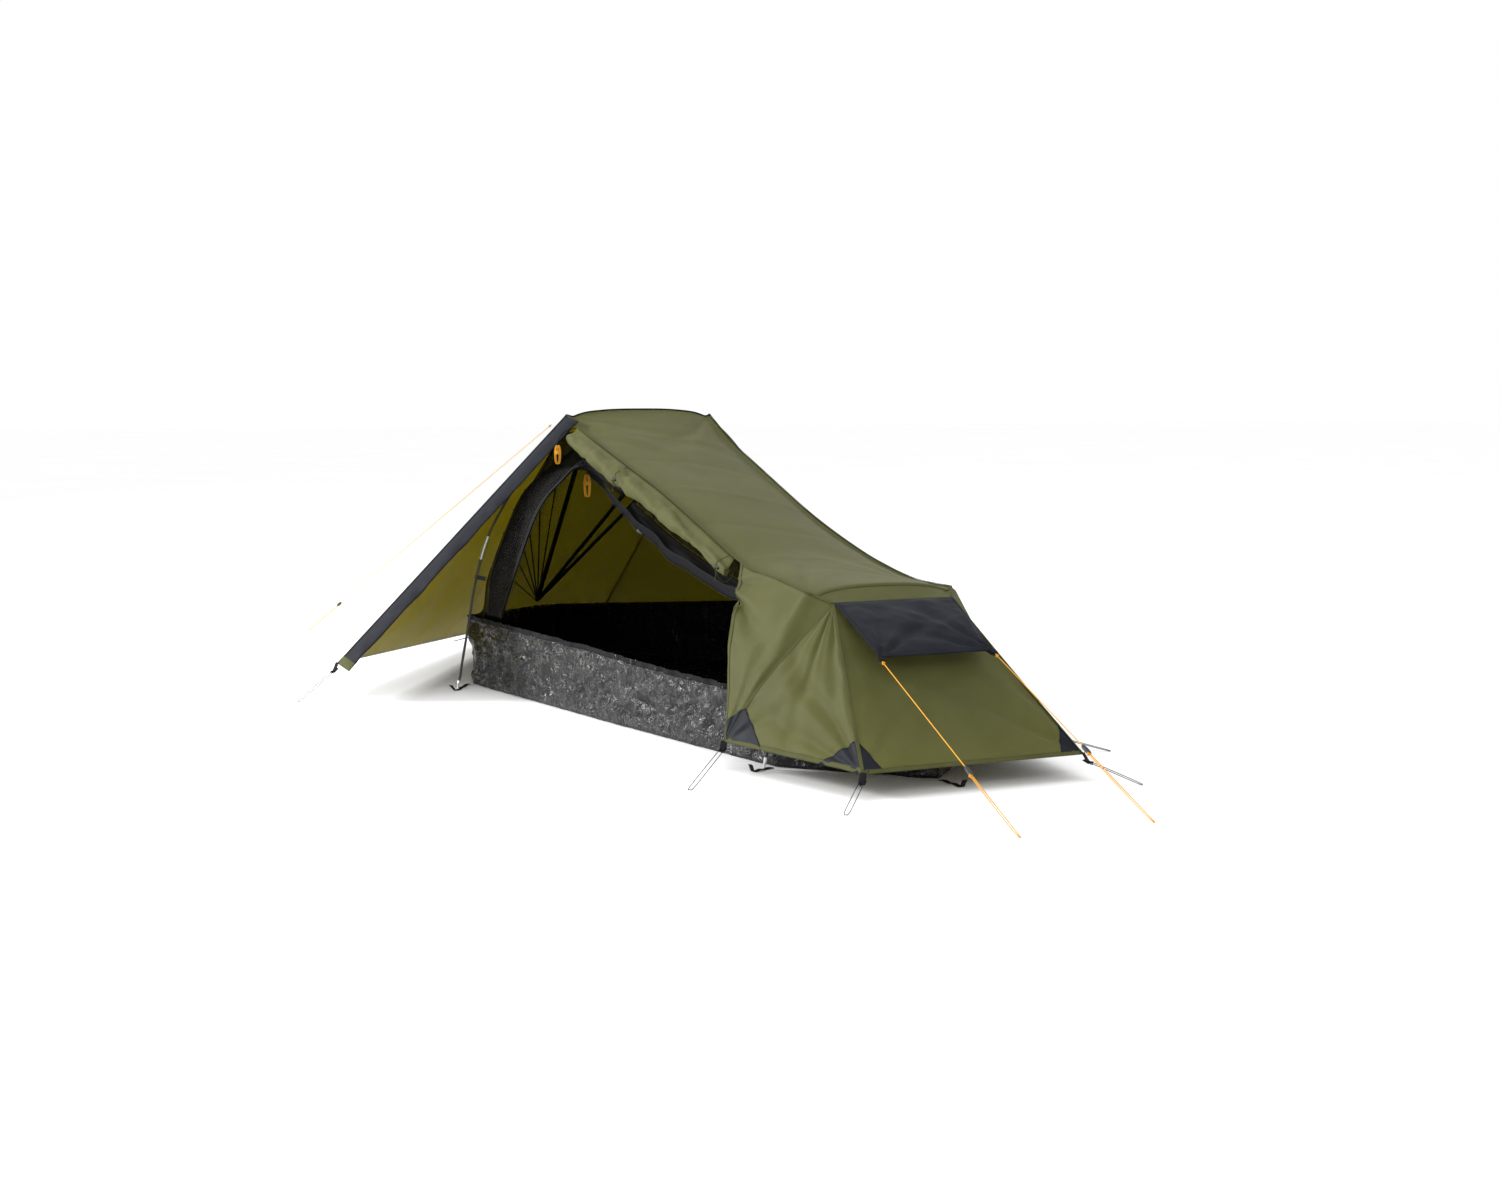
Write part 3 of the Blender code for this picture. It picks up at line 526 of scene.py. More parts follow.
def cloth_grid(name, grid, out, materials, slot, nodes=(), held="stretched", folds=(), fade=0.05, free="",
               thick=CLOTH, rests_on=("main_pole_arch",), cut=None):
    """A sewn panel from a grid of points: folds along its normals, real thickness, and its cut size.

    fade is how far in from an edge the folds reach their full height, except on the free edges.
    """
    normal = facing(grid, out)
    shaped = grid
    if folds:
        lift = sum(fold(grid, unit(normal.mean((0, 1)))) for fold in folds)
        shaped = grid + normal * (lift * edge_fade(grid, fade, free))[..., None]
    u = lengths_on(grid, 1)
    v = lengths_on(grid, 0)
    uv = np.stack([u - u[:, u.shape[1] // 2][:, None], v], axis=2).reshape(-1, 2)
    rows, columns = grid.shape[:2]
    first = np.cross(np.gradient(grid, axis=1), np.gradient(grid, axis=0)).sum((0, 1))
    faces = grid_faces(rows, columns, first @ out < 0)
    piece = mesh_object(name, shaped.reshape(-1, 3), faces, materials, uv)
    merged = bmesh.new()             # an edge without length becomes one corner
    merged.from_mesh(piece.data)
    bmesh.ops.remove_doubles(merged, verts=merged.verts, dist=1e-5)
    merged.to_mesh(piece.data)
    merged.free()
    made_sheets[name] = piece
    thicken(piece, thick, len(materials) - 1)
    finish_piece(piece, nodes)
    wide, long = cut or (float(u[:, -1].max()), float(v[-1].max()))
    area = min(area_of(grid), wide * long)
    area = None if area > 0.97 * wide * long else area       # None is a plain rectangle
    sheets[name] = {"flat": (round(wide, 3), round(long, 3)), "held": held, "rests_on": list(rests_on),
                    "area": area, "with_pieces": []}
    return piece


def cross_directions(line):
    """Two directions across a line at each of its points, turning as little as they can."""
    along = directions(line)
    side = UP if abs(along[0] @ UP) < 0.9 else xyz(1.0, 0.0, 0.0)
    sides = []
    for tangent in along:
        side = unit(side - tangent * (tangent @ side))
        sides.append(side)
    return np.array(sides), np.cross(along, sides)


def ring_faces(count, sides, flip=False):
    """Faces between rings of points, with both ends closed."""
    faces = []
    for i in range(count - 1):
        for k in range(sides):
            n = (k + 1) % sides
            faces.append((i * sides + k, i * sides + n, (i + 1) * sides + n, (i + 1) * sides + k))
    faces.append(tuple(reversed(range(sides))))
    faces.append(tuple((count - 1) * sides + k for k in range(sides)))
    return [face[:1] + face[:0:-1] for face in faces] if flip else faces


def tube(name, line, radius, material, sides=8):
    """A round tube along a line, with its map running along and round it in metres."""
    u, w = cross_directions(line)
    angles = np.linspace(0, 2 * math.pi, sides, endpoint=False)
    rings = line[:, None] + radius * (u[:, None] * np.cos(angles)[None, :, None]
                                      + w[:, None] * np.sin(angles)[None, :, None])
    uv = np.stack([np.repeat(run(line), sides), np.tile(angles * radius, len(line))], axis=1)
    return mesh_object(name, rings.reshape(-1, 3), ring_faces(len(line), sides), [material], uv)


# A tape's cross-section: (share of its width, share of its thickness), with softly rounded edges.
TAPE_SECTION = [(-0.5, 0.0), (-0.48, 0.75), (-0.3, 1.0), (0.0, 1.0), (0.3, 1.0), (0.48, 0.75), (0.5, 0.0)]


def ribbon(name, line, normals, wide, thick, material):
    """A flat tape along a line, facing its normals, with its map in metres; wide may vary along it."""
    along = directions(line)
    side = unit_rows(np.cross(along, normals))
    up = unit_rows(np.cross(side, along))
    across = np.broadcast_to(np.asarray(wide, float), (len(line),))
    rows = [line + side * (a * across[:, None]) + up * (b * thick) for a, b in TAPE_SECTION]
    points = np.stack(rows, axis=1).reshape(-1, 3)
    count, n = len(line), len(TAPE_SECTION)
    uv = np.stack([np.repeat(run(line), n), np.tile([a * across.mean() for a, b in TAPE_SECTION], count)],
                  axis=1)
    return mesh_object(name, points, ring_faces(count, n, True), [material], uv)


def laid_on(panels, line, lift):
    """A line's points moved onto made panels and lifted off them, and the panels' mean normals there."""
    meshes = [made_sheets[name].data for name in panels]
    trees = [BVHTree.FromPolygons([v.co for v in mesh.vertices], [p.vertices for p in mesh.polygons])
             for mesh in meshes]
    places, normals = [], []
    for p in line:
        found = [tree.find_nearest(Vector(p)) for tree in trees]
        nearest = min(found, key=lambda f: f[3])
        close = [f[1] for f in found if f[3] < nearest[3] + 0.004]
        normal = unit(np.array(sum(close, Vector())))
        places.append(np.array(nearest[0]) + normal * lift)
        normals.append(normal)
    return np.array(places), np.array(normals)


def overlay(name, panel, point, keep, lift, material):
    """A second layer on the part of a panel that lies past a point in the direction of keep."""
    layer = bmesh.new()
    layer.from_mesh(made_sheets[panel].data)
    everything = list(layer.verts) + list(layer.edges) + list(layer.faces)
    bmesh.ops.bisect_plane(layer, geom=everything, plane_co=Vector(point), plane_no=Vector(-keep),
                           clear_outer=True)
    layer.normal_update()
    for v, move in [(v, v.normal * lift) for v in layer.verts]:
        v.co += move
    mesh = bpy.data.meshes.new(name)
    layer.to_mesh(mesh)
    layer.free()
    mesh.materials.append(material)
    return thicken(in_scene(name, mesh), LAYER, 0)


# Rows of small repeated shapes.

def row_tree():
    """Geometry nodes: small rounded grains, sized by Size, every Pitch along the lines, lying along them."""
    tree = bpy.data.node_groups.new("row_of_grains", "GeometryNodeTree")
    face = tree.interface
    face.new_socket("Geometry", in_out="INPUT", socket_type="NodeSocketGeometry")
    face.new_socket("Pitch", in_out="INPUT", socket_type="NodeSocketFloat")
    face.new_socket("Size", in_out="INPUT", socket_type="NodeSocketVector")
    face.new_socket("Material", in_out="INPUT", socket_type="NodeSocketMaterial")
    face.new_socket("Geometry", in_out="OUTPUT", socket_type="NodeSocketGeometry")
    into = add(tree, "NodeGroupInput").outputs
    line = add(tree, "GeometryNodeMeshToCurve", None, {"Mesh": into["Geometry"]})
    spread = add(tree, "GeometryNodeResampleCurve", {"mode": "LENGTH"},
                 {"Curve": line.outputs["Curve"], "Length": into["Pitch"]})
    grain = add(tree, "GeometryNodeMeshUVSphere", None, {"Segments": 5, "Rings": 3, "Radius": 0.5})
    tangent = add(tree, "GeometryNodeInputTangent")
    turn = add(tree, "FunctionNodeAlignRotationToVector", {"axis": "Z"},
               {"Vector": tangent.outputs["Tangent"]})
    placed = add(tree, "GeometryNodeInstanceOnPoints", None,
                 {"Points": spread.outputs["Curve"], "Instance": grain.outputs["Mesh"],
                  "Rotation": turn.outputs["Rotation"], "Scale": into["Size"]})
    real = add(tree, "GeometryNodeRealizeInstances", None, {"Geometry": placed.outputs["Instances"]})
    painted = add(tree, "GeometryNodeSetMaterial", None,
                  {"Geometry": real.outputs["Geometry"], "Material": into["Material"]})
    add(tree, "NodeGroupOutput", None, {"Geometry": painted.outputs["Geometry"]})
    return tree


ROW_TREE = row_tree()


def grains(name, lines, pitch, size, material):
    """One piece with a row of grains along each line: stitches or zip teeth."""
    points, edges = [], []
    for line in lines:
        start = len(points)
        points += [tuple(p) for p in line]
        edges += [(start + k, start + k + 1) for k in range(len(line) - 1)]
    mesh = bpy.data.meshes.new(name)
    mesh.from_pydata(points, edges, [])
    rows = in_scene(name, mesh)
    maker = rows.modifiers.new("rows", "NODES")
    maker.node_group = ROW_TREE
    named = {item.name: item.identifier for item in ROW_TREE.interface.items_tree
             if item.item_type == "SOCKET" and item.in_out == "INPUT"}
    maker[named["Pitch"]] = pitch
    maker[named["Size"]] = size
    maker[named["Material"]] = material
    graph = bpy.context.evaluated_depsgraph_get()
    real = bpy.data.meshes.new_from_object(rows.evaluated_get(graph), depsgraph=graph)
    rows.modifiers.clear()
    rows.data = real
    if not real.materials:
        real.materials.append(material)
    real.shade_smooth()
    return rows


# The fly.

main_line = over_hoop(0.0, MAIN_HALF)
foot_line = over_hoop(HOOP_GAP, FOOT_HALF)
main_top = part_of(main_line, SHOULDER, SHOULDER * FAR)
foot_top = part_of(foot_line, FOOT_SHOULDER, FOOT_SHOULDER * FAR)
main_far_leg = part_of(main_line, HOOP_HEM * FAR, SHOULDER * FAR)
far_hem = spline([HOOP_HEM * FAR, (0.80, 0.550, 0.062), SIDE_HEM * FAR])
vent_line = np.array([VENT_CORNER, VENT_CORNER * FAR])


def side_edges(sag, hem, turn):
    """One side's seam lines by name, from its roof edge's sag and its foot hem corner."""
    edge = spline([SHOULDER * (1 - s) + FOOT_SHOULDER * s - UP * drop for s, drop in sag], 6)
    door_end = edge[edge[:, 0] >= DOOR_FROM_X][0]
    lines = {"roof": edge, "to_door": edge[edge[:, 0] <= door_end[0]],
             "to_vent": np.vstack([edge[edge[:, 0] >= door_end[0]], VENT_CORNER]),
             "corner": spline([SIDE_HEM, (1.690, -0.338, 0.235), VENT_CORNER]),
             "foot": spline([hem, (1.975, -0.250, 0.240), VENT_CORNER]),
             "door": spline([SIDE_HEM, (1.490, -0.350, 0.270), door_end]),
             "hem": np.array([SIDE_HEM, hem])}
    return {name: line * turn for name, line in lines.items()}


near = side_edges(NEAR_SAG, FOOT_HEM, 1.0)
far = side_edges(FAR_SAG, FAR_FOOT_HEM * FAR, FAR)
POLES = ("main_pole_arch", "foot_pole_arch")


def doubled(point):
    return np.array([point, point])


def fly_panel(name, grid, out, nodes, folds, fade=0.02, **facts):
    cloth_grid(name, grid, out, [FLY_OUT, FLY_IN], "fly_cloth", nodes, folds=folds, fade=fade, **facts)


# The roof runs over the foot hoop down to the vent hood's seam in one piece.
roof = coons(near["roof"], far["roof"], main_top, foot_top, 150, 52)
brow = coons([FOOT_SHOULDER, VENT_CORNER], [FOOT_SHOULDER * FAR, VENT_CORNER * FAR], foot_top, vent_line,
             8, 52)
fly_panel("roof_panel", np.concatenate([roof, brow[:, 1:]], axis=1), UP, ("fly_roof", "fly_vent_band"),
          [fan(SHOULDER, xyz(0.8, 0.1, 0.6), 11, 0.20, 0.0035, 0.9),
           fan(SHOULDER * FAR, xyz(0.8, -0.1, 0.6), 11, 0.20, 0.0035, 0.9, 2.0),
           fan(FOOT_SHOULDER, xyz(0.9, 0.0, 0.6), 13, 0.16, 0.0030, 0.8, 1.0),
           fan(FOOT_SHOULDER * FAR, xyz(0.9, 0.0, 0.6), 13, 0.16, 0.0030, 0.8, 4.0),
           ripples(0.30, 0.0035, 3.0), creases((0.24, 0.50, 0.78, 1.06, 1.33), 0.25, 0.018, 0.0012)],
          fade=0.03, rests_on=POLES)


def pole_ridge(points, normal):
    """The foot pole's leg pushes the cloth out along its line."""
    off_pole = (points[..., 0] - HOOP_GAP) / 0.020
    return 0.007 * np.exp(-off_pole ** 2) * smooth((points[..., 2] - 0.12) / 0.1)


toggle_low = xyz(1.290, -0.272, 0.452)
near_side = coons(doubled(SIDE_HEM), near["to_vent"], near["door"], near["corner"], 60, 70)
fly_panel("near_foot_side_panel", near_side, -xyz(0, 1, 0), ("fly_near_foot_side",),
          [fan(toggle_low, xyz(1.56, -0.36, 0.20), 12, 0.10, 0.013, 1.1, 0.6),
           fan(toggle_low, xyz(1.70, -0.24, 0.42), 10, 0.13, 0.006, 0.8, 2.2),
           fan(SIDE_HEM, xyz(1.60, -0.30, 0.40), 9, 0.14, 0.004, 0.9), ripples(0.09, 0.0022, 7.0),
           pole_ridge], fade=0.018, free="l", held="hung")
near_corner = coons(near["hem"], doubled(VENT_CORNER), near["corner"], near["foot"], 64, 64)
fly_panel("near_corner_panel", near_corner, -xyz(0, 1, 0), ("fly_near_corner",),
          [fan(FOOT_HEM, xyz(1.70, -0.34, 0.30), 17, 0.20, 0.0065, 0.75, 0.4),
           fan(VENT_CORNER, xyz(1.95, -0.35, 0.08), 15, 0.13, 0.0055, 0.9, 1.3),
           fan(SIDE_HEM, xyz(1.80, -0.28, 0.30), 9, 0.13, 0.003, 0.9, 2.0), ripples(0.10, 0.0020, 9.0)])
far_side = coons(doubled(SIDE_HEM * FAR), far["to_vent"], far["door"], far["corner"], 40, 50)
fly_panel("far_foot_side_panel", far_side, xyz(0, 1, 0), ("fly_far_foot_side",),
          [fan(SIDE_HEM * FAR, xyz(1.6, 0.25, 0.45), 9, 0.2, 0.004, 0.8), ripples(0.12, 0.002, 4.0),
           pole_ridge], held="hung")
far_corner = coons(far["hem"], doubled(VENT_CORNER * FAR), far["corner"], far["foot"], 40, 50)
fly_panel("far_corner_panel", far_corner, xyz(0, 1, 0), ("fly_far_corner",),
          [fan(FAR_FOOT_HEM, xyz(1.7, 0.34, 0.3), 14, 0.2, 0.005, 0.8), ripples(0.10, 0.002, 5.0)])
foot_end = coons([FOOT_HEM, FAR_FOOT_HEM], vent_line, near["foot"], far["foot"], 72, 60)
fly_panel("foot_end_panel", foot_end, xyz(1, 0, 0), ("fly_foot_end",),
          [fan(FOOT_HEM, xyz(1.8, 0.05, 0.4), 11, 0.18, 0.004, 0.8, 0.9),
           fan(FAR_FOOT_HEM, xyz(1.8, -0.05, 0.4), 11, 0.18, 0.006, 0.8, 2.4), ripples(0.14, 0.003, 6.0)])
far_wall = coons(far_hem, far["to_door"], main_far_leg, far["door"], 120, 70)
fly_panel("far_side_panel", far_wall, xyz(0, 1, 0.3), ("fly_far_side",),
          [fan(HOOP_HEM * FAR, xyz(0.7, 0.4, 0.5), 11, 0.30, 0.006, 0.8),
           fan(SIDE_HEM * FAR, xyz(0.9, 0.35, 0.5), 11, 0.30, 0.006, 0.8, 1.0), ripples(0.22, 0.004, 8.0)],
          fade=0.03, held="hung", rests_on=POLES)
head_edge = [HEAD_HEM, SHOULDER]
far_head_edge = [HEAD_HEM * FAR, SHOULDER * FAR]
head_end = coons([HEAD_HEM, HEAD_HEM * FAR], main_top, head_edge, far_head_edge, 60, 90)
fly_panel("head_end_panel", head_end, xyz(-1, 0, 0.5), ("fly_head_end",),
          [fan(HEAD_HEM, xyz(-0.3, 0.1, 0.7), 11, 0.25, 0.005, 0.8),
           fan(HEAD_HEM * FAR, xyz(-0.3, -0.1, 0.7), 11, 0.25, 0.005, 0.8, 1.5), ripples(0.22, 0.003, 2.0)],
          fade=0.03)
head_far = coons([HEAD_HEM * FAR, HOOP_HEM * FAR], doubled(SHOULDER * FAR), far_head_edge, main_far_leg,
                 70, 80)
fly_panel("head_far_panel", head_far, xyz(-0.4, 1, 0.3), ("fly_head_far",),
          [fan(HEAD_HEM * FAR, xyz(-0.2, 0.4, 0.6), 11, 0.25, 0.005, 0.8),
           fan(HOOP_HEM * FAR, xyz(-0.2, 0.3, 0.6), 9, 0.22, 0.005, 0.8), ripples(0.2, 0.004, 11.0)],
          fade=0.03)
vestibule = coons([HEAD_HEM, FLAP_TIP], doubled(SHOULDER), head_edge, [FLAP_TIP, SHOULDER], 80, 90)
fly_panel("vestibule_panel", vestibule, xyz(-0.7, -0.6, 0.3), ("fly_vestibule",),
          [fan(HEAD_HEM, xyz(-0.1, -0.5, 0.6), 11, 0.25, 0.005, 0.8),
           fan(FLAP_TIP, xyz(-0.3, -0.4, 0.5), 9, 0.2, 0.004, 0.7, 1.0), ripples(0.22, 0.0035, 12.0)],
          fade=0.03)

# Storm flap: two layers of navy cloth sewn to the vestibule's free edge, its inner edge left loose.
down = unit(FLAP_TIP - SHOULDER)
flap_across = unit((SIDE_HEM - FLAP_TIP) - down * ((SIDE_HEM - FLAP_TIP) @ down))
flap_start = SHOULDER + (FLAP_TIP - SHOULDER) * 0.005
flap_side = flap_across * FLAP_WIDE
flap = coons([FLAP_TIP, FLAP_TIP + flap_side], [flap_start, flap_start + flap_side],
             [FLAP_TIP, flap_start], [FLAP_TIP + flap_side, flap_start + flap_side], 14, 170)
flap_out = unit(np.cross(down, flap_across))
flap_out = flap_out if flap_out[1] < 0 else -flap_out


def flap_wave(points, normal):
    """A long shallow hollow down the flap, with its loose edge waving a little."""
    over_flap = (points - SHOULDER) @ flap_across / FLAP_WIDE
    return 0.006 * np.sin(math.pi * over_flap) + 0.005 * over_flap * cloudy(points, 0.10, 15.0, 2)


cloth_grid("storm_flap_cloth", flap, flap_out, [NAVY], "navy_cloth", ("storm_flap",), folds=[flap_wave],
           fade=0.012, free="r", thick=0.0012, rests_on=("vestibule_panel",), held="hung")

# Vent hood: its front edge is stiff, its sides slope, its cloth is a little slack.
hood_top = np.array([VENT_CORNER, VENT_CORNER * FAR]) + xyz(0.004, 0, 0.003)
hood_low = np.array([HOOD_CORNER, HOOD_CORNER * FAR])
hood = coons(hood_low, hood_top, [hood_low[0], hood_top[0]], [hood_low[1], hood_top[1]], 64, 48)
cloth_grid("vent_hood_cloth", hood, xyz(0.6, 0, 1), [NAVY], "navy_cloth", ("vent_hood",),
           folds=[lambda p, n: 0.012 * np.exp(-((p[..., 0] - 1.87) / 0.09) ** 2),
                  fan(HOOD_CORNER, xyz(1.85, 0.02, 0.4), 11, 0.09, 0.0045, 0.9),
                  fan(HOOD_CORNER * FAR, xyz(1.85, -0.02, 0.4), 11, 0.09, 0.0045, 0.9, 1.7),
                  ripples(0.055, 0.0032, 21.0)], fade=0.018, thick=0.0009, rests_on=("foot_pole_arch",))


# Inner tent.

share = np.linspace(0, 1, 33)[:, None]
inner_near = (INNER_SHOULDER * (1 - share) + INNER_FOOT_SHOULDER * share
              - UP * (INNER_SAG * 4 * share * (1 - share)))
inner_far = inner_near * FAR
inner_top = spline([INNER_SHOULDER, (0.02, 0.0, 0.835), INNER_SHOULDER * FAR])
inner_foot_top = spline([INNER_FOOT_SHOULDER, (1.52, 0.0, 0.428), INNER_FOOT_SHOULDER * FAR])


def wall_top(x, side=-1.0):
    """The point just over the tray wall's rim at x, on the side given by its sign in Y."""
    xs, ys, hs = zip(*FLOOR_NEAR)
    y, h = np.interp(x, xs, np.abs(ys)), np.interp(x, xs, hs)
    return xyz(x, side * (y + 0.004), h + 0.002)


def rim(from_x, to_x, side=-1.0):
    return np.array([wall_top(x, side) for x in np.linspace(from_x, to_x, 24)])


def hung_folds(anchor_line, pitch, height, seed):
    """Upright folds in slack mesh, running up and down, close together at the bottom."""
    def folds(points, normal):
        across = unit(anchor_line[-1] - anchor_line[0])
        t = (points - anchor_line[0]) @ across
        turn = 2 * math.pi * t / pitch + 1.6 * cloudy(points, 0.12, seed)
        return height * np.sin(turn) * (0.6 + 0.4 * cloudy(points, 0.2, seed + 3))
    return folds


def net_panel(name, grid, out, nodes, folds=(), fade=0.03, net=MESH, cut=None):
    cloth_grid(name, grid, out, [net], "mesh_cloth", nodes, "hung", folds, fade, thick=0.0004, cut=cut)


net_panel("inner_roof_mesh", coons(inner_near, inner_far, inner_top, inner_foot_top, 80, 30), UP,
          ("inner_roof",), [ripples(0.16, 0.004, 31.0)])
leg = spline([*INNER_LEG, INNER_SHOULDER])
foot_near = np.array([wall_top(DOOR_END_X), INNER_FOOT_SHOULDER])
far_rim = np.vstack([(leg * FAR)[:1], rim(0.05, DOOR_END_X, 1.0)])
net_panel("inner_far_wall", coons(far_rim, inner_far, leg * FAR, foot_near * FAR, 90, 40), xyz(0, 1, 0),
          ("inner_far_mesh",), [ripples(0.18, 0.004, 33.0)])
front_top = inner_near[:9]
zip_line = spline([*ZIP_CURVE, front_top[-1]])
front = coons([leg[0], zip_line[0]], front_top, leg, zip_line, 50, 80)
net_panel("inner_front_wall", front, -xyz(0, 1, 0), ("inner_front_mesh",),
          [hung_folds(np.array([leg[0], zip_line[0]]), 0.026, 0.006, 35.0)], 0.02, MESH_SLACK)
# A gusset of the same slack net fills the corner between the front wall and the pole's shoulder.
POLE_SHOULDER = xyz(0.004, -0.268, 0.862)
gusset_low = spaced(leg, 30, 0.50, 1.0)
gusset_top = spaced(np.array([gusset_low[0], POLE_SHOULDER, INNER_SHOULDER]), 30)
gusset = np.stack([gusset_low * (1 - t) + gusset_top * t for t in np.linspace(0, 1, 16)])
gusset_wide = run(gusset_low)[-1]
gusset_tall = area_of(gusset) / gusset_wide / 0.6     # a crescent fills 0.6 of the piece it is cut from
net_panel("inner_shoulder_gusset", gusset, -xyz(0, 1, 0), (), net=MESH_SLACK,
          cut=(gusset_wide, gusset_tall))
arch = np.vstack([leg, inner_top[1:-1], (leg * FAR)[::-1]]) + xyz(-0.012, 0, 0)
near_head = rim(-0.89, -0.11, -1.0)[::-1]
head_rim = np.vstack([near_head, [(-0.9, 0.0, 0.175)], (near_head * FAR)[::-1]]) + xyz(0.010, 0, 0)
head_grid = coons(head_rim, arch, [head_rim[0], arch[0]], [head_rim[-1], arch[-1]], 130, 50)


def head_pleats(points, normal):
    """Pleats that gather at the head tip and spread up to the hoop."""
    tip = xyz(-0.9, 0.0, 0.17)
    d = points - tip
    angle = np.arctan2(d[..., 1], np.abs(d[..., 0]) + 1e-6)
    lift = np.arctan2(d[..., 2], np.hypot(d[..., 0], d[..., 1]) + 1e-6)
    return 0.007 * np.sin(46 * angle + 9 * lift) * smooth((np.linalg.norm(d, axis=-1) - 0.05) / 0.4)


net_panel("inner_head_wall", head_grid, xyz(-1, 0, 0.5), ("inner_head_mesh",), [head_pleats])
near_foot = rim(DOOR_END_X + 0.02, 1.99)
foot_rim = np.vstack([near_foot, [(2.0, 0.0, 0.153)], (near_foot * FAR)[::-1]]) + xyz(-0.008, 0, 0)
foot_arch = np.vstack([foot_near, inner_foot_top[1:-1], (foot_near * FAR)[::-1]]) + xyz(0.012, 0, 0)
foot_grid = coons(foot_rim, foot_arch, [foot_rim[0], foot_arch[0]], [foot_rim[-1], foot_arch[-1]], 70, 24)
net_panel("inner_foot_wall", foot_grid, xyz(1, 0, 0.6), ("inner_foot_mesh",), [ripples(0.10, 0.003, 37.0)],
          0.02)


# Tray floor: one sheet, up the near wall, across the ground and up the far wall.

def tray_grid():
    xs = np.concatenate([np.linspace(-0.900, -0.110, 70), np.linspace(-0.110, 0.789, 80)[1:],
                         np.linspace(0.789, 2.0, 100)[1:]])
    kx, ky, kh = (np.array(v) for v in zip(*FLOOR_NEAR))
    y, h = np.interp(xs, kx, np.abs(ky)), np.interp(xs, kx, kh)
    slope = np.gradient(y, xs)
    out = np.stack([-slope, np.ones_like(slope)], axis=1)
    out /= np.linalg.norm(out, axis=1, keepdims=True)
    turn = smooth((xs + 0.9) / 0.05) * smooth((2.0 - xs) / 0.05)
    columns = []
    wall, ground = 20, 46            # steps up each wall and across the ground
    for side in (-1.0, 1.0):
        for t in np.linspace(1.0, 0.0, wall + 1)[:-1]:
            lean = WALL_LEAN * t
            leant = out * (lean * turn)[:, None]
            columns.append(np.stack([xs + leant[:, 0], side * (y + leant[:, 1]), h * t], axis=1))
    across = [np.stack([xs, y * t, np.zeros_like(xs)], axis=1) for t in np.linspace(-1.0, 1.0, ground + 1)]
    return np.stack(columns[:wall] + across + columns[wall:][::-1], axis=0)


def crinkle_tray(grid):
    """Crumples: sharp little ridges on the walls, low humps on the ground, nothing below it."""
    sharp = 1 - 2.6 * np.abs(cloudy(grid, 0.085, 41.0)) - 1.3 * np.abs(cloudy(grid, 0.034, 43.0))
    soft = cloudy(grid, 0.13, 45.0)
    upright = smooth((grid[..., 2] - 0.004) / 0.03)
    out_y = np.sign(grid[..., 1]) * upright
    amount = (0.0100 * sharp + 0.0070 * soft) * np.where(grid[..., 1] > 0, 0.3, 1.0)
    head_folds = 0.004 * np.sin(grid[..., 0] / 0.011 + 2 * soft) * smooth((0.20 - grid[..., 0]) / 0.15)
    amount += head_folds * (grid[..., 1] < 0)
    moved = grid.copy()
    moved[..., 1] += out_y * amount
    moved[..., 2] += (1 - upright) * np.maximum(0.0, 0.0026 * sharp + 0.0015)
    moved[..., 2] += upright * 0.0012 * soft * (grid[..., 2] / 0.2)
    moved[..., 2] = np.maximum(moved[..., 2], 0.0)
    return moved


tray = tray_grid()
cloth_grid("tray_floor", crinkle_tray(tray), -UP, [TRAY_OUT, TRAY_IN_PAINTED_SHADE], "groundsheet", ("bathtub_floor",),
           thick=0.0006, held="laid", rests_on=(), cut=(1.6, 2.9))      # floor and both walls across


# Sewn details of the fly.

def sewn(piece, panel):
    """Finishes a piece that is sewn on a panel."""
    sheets[panel]["with_pieces"].append(piece)
    return finish_piece(piece)


def tape(name, panels, line, wide, material, lift=0.0007, thick=0.0006, thread=None):
    """A tape sewn flat on panels along a line, with a row of stitches along each edge."""
    steps = max(8, int(run(line)[-1] / 0.010))
    places, normals = laid_on(panels, spaced(line, steps), lift)
    piece = sewn(ribbon(name, places, normals, wide, thick, material), panels[0])
    if thread:
        side = np.cross(np.gradient(places, axis=0), normals)
        side *= (wide / 2 - STITCH_IN) / np.linalg.norm(side, axis=1, keepdims=True)
        top = places + normals * (thick + STITCH_SIZE[0] * 0.2)
        rows = grains(f"{name}_stitches", [top + side, top - side], STITCH_PITCH, STITCH_SIZE, thread)
        sewn(rows, panels[0])
    return piece


def along_edge(line, metres):
    """The point this many metres from a line's start."""
    return at(line, metres / run(line)[-1])


def patch(name, panel, first_edge, first_metres, second_edge, second_metres):
    """A three-cornered patch over the corner where two of a panel's edges start."""
    corner = np.asarray(first_edge[0])
    first, second = along_edge(first_edge, first_metres), along_edge(second_edge, second_metres)
    out = np.cross(first - corner, second - corner)
    keep = unit(np.cross(second - first, out))
    keep = keep if keep @ (corner - first) > 0 else -keep
    sewn(overlay(name, panel, first, keep, PATCH_LIFT, NAVY), panel)
    edge = laid_on([panel], spaced(np.array([first, second]), 30), PATCH_LIFT + 0.0003)[0]
    inner = edge + keep * STITCH_IN * 2
    sewn(grains(f"{name}_stitches", [inner], STITCH_PITCH, STITCH_SIZE, THREAD_BLACK), panel)


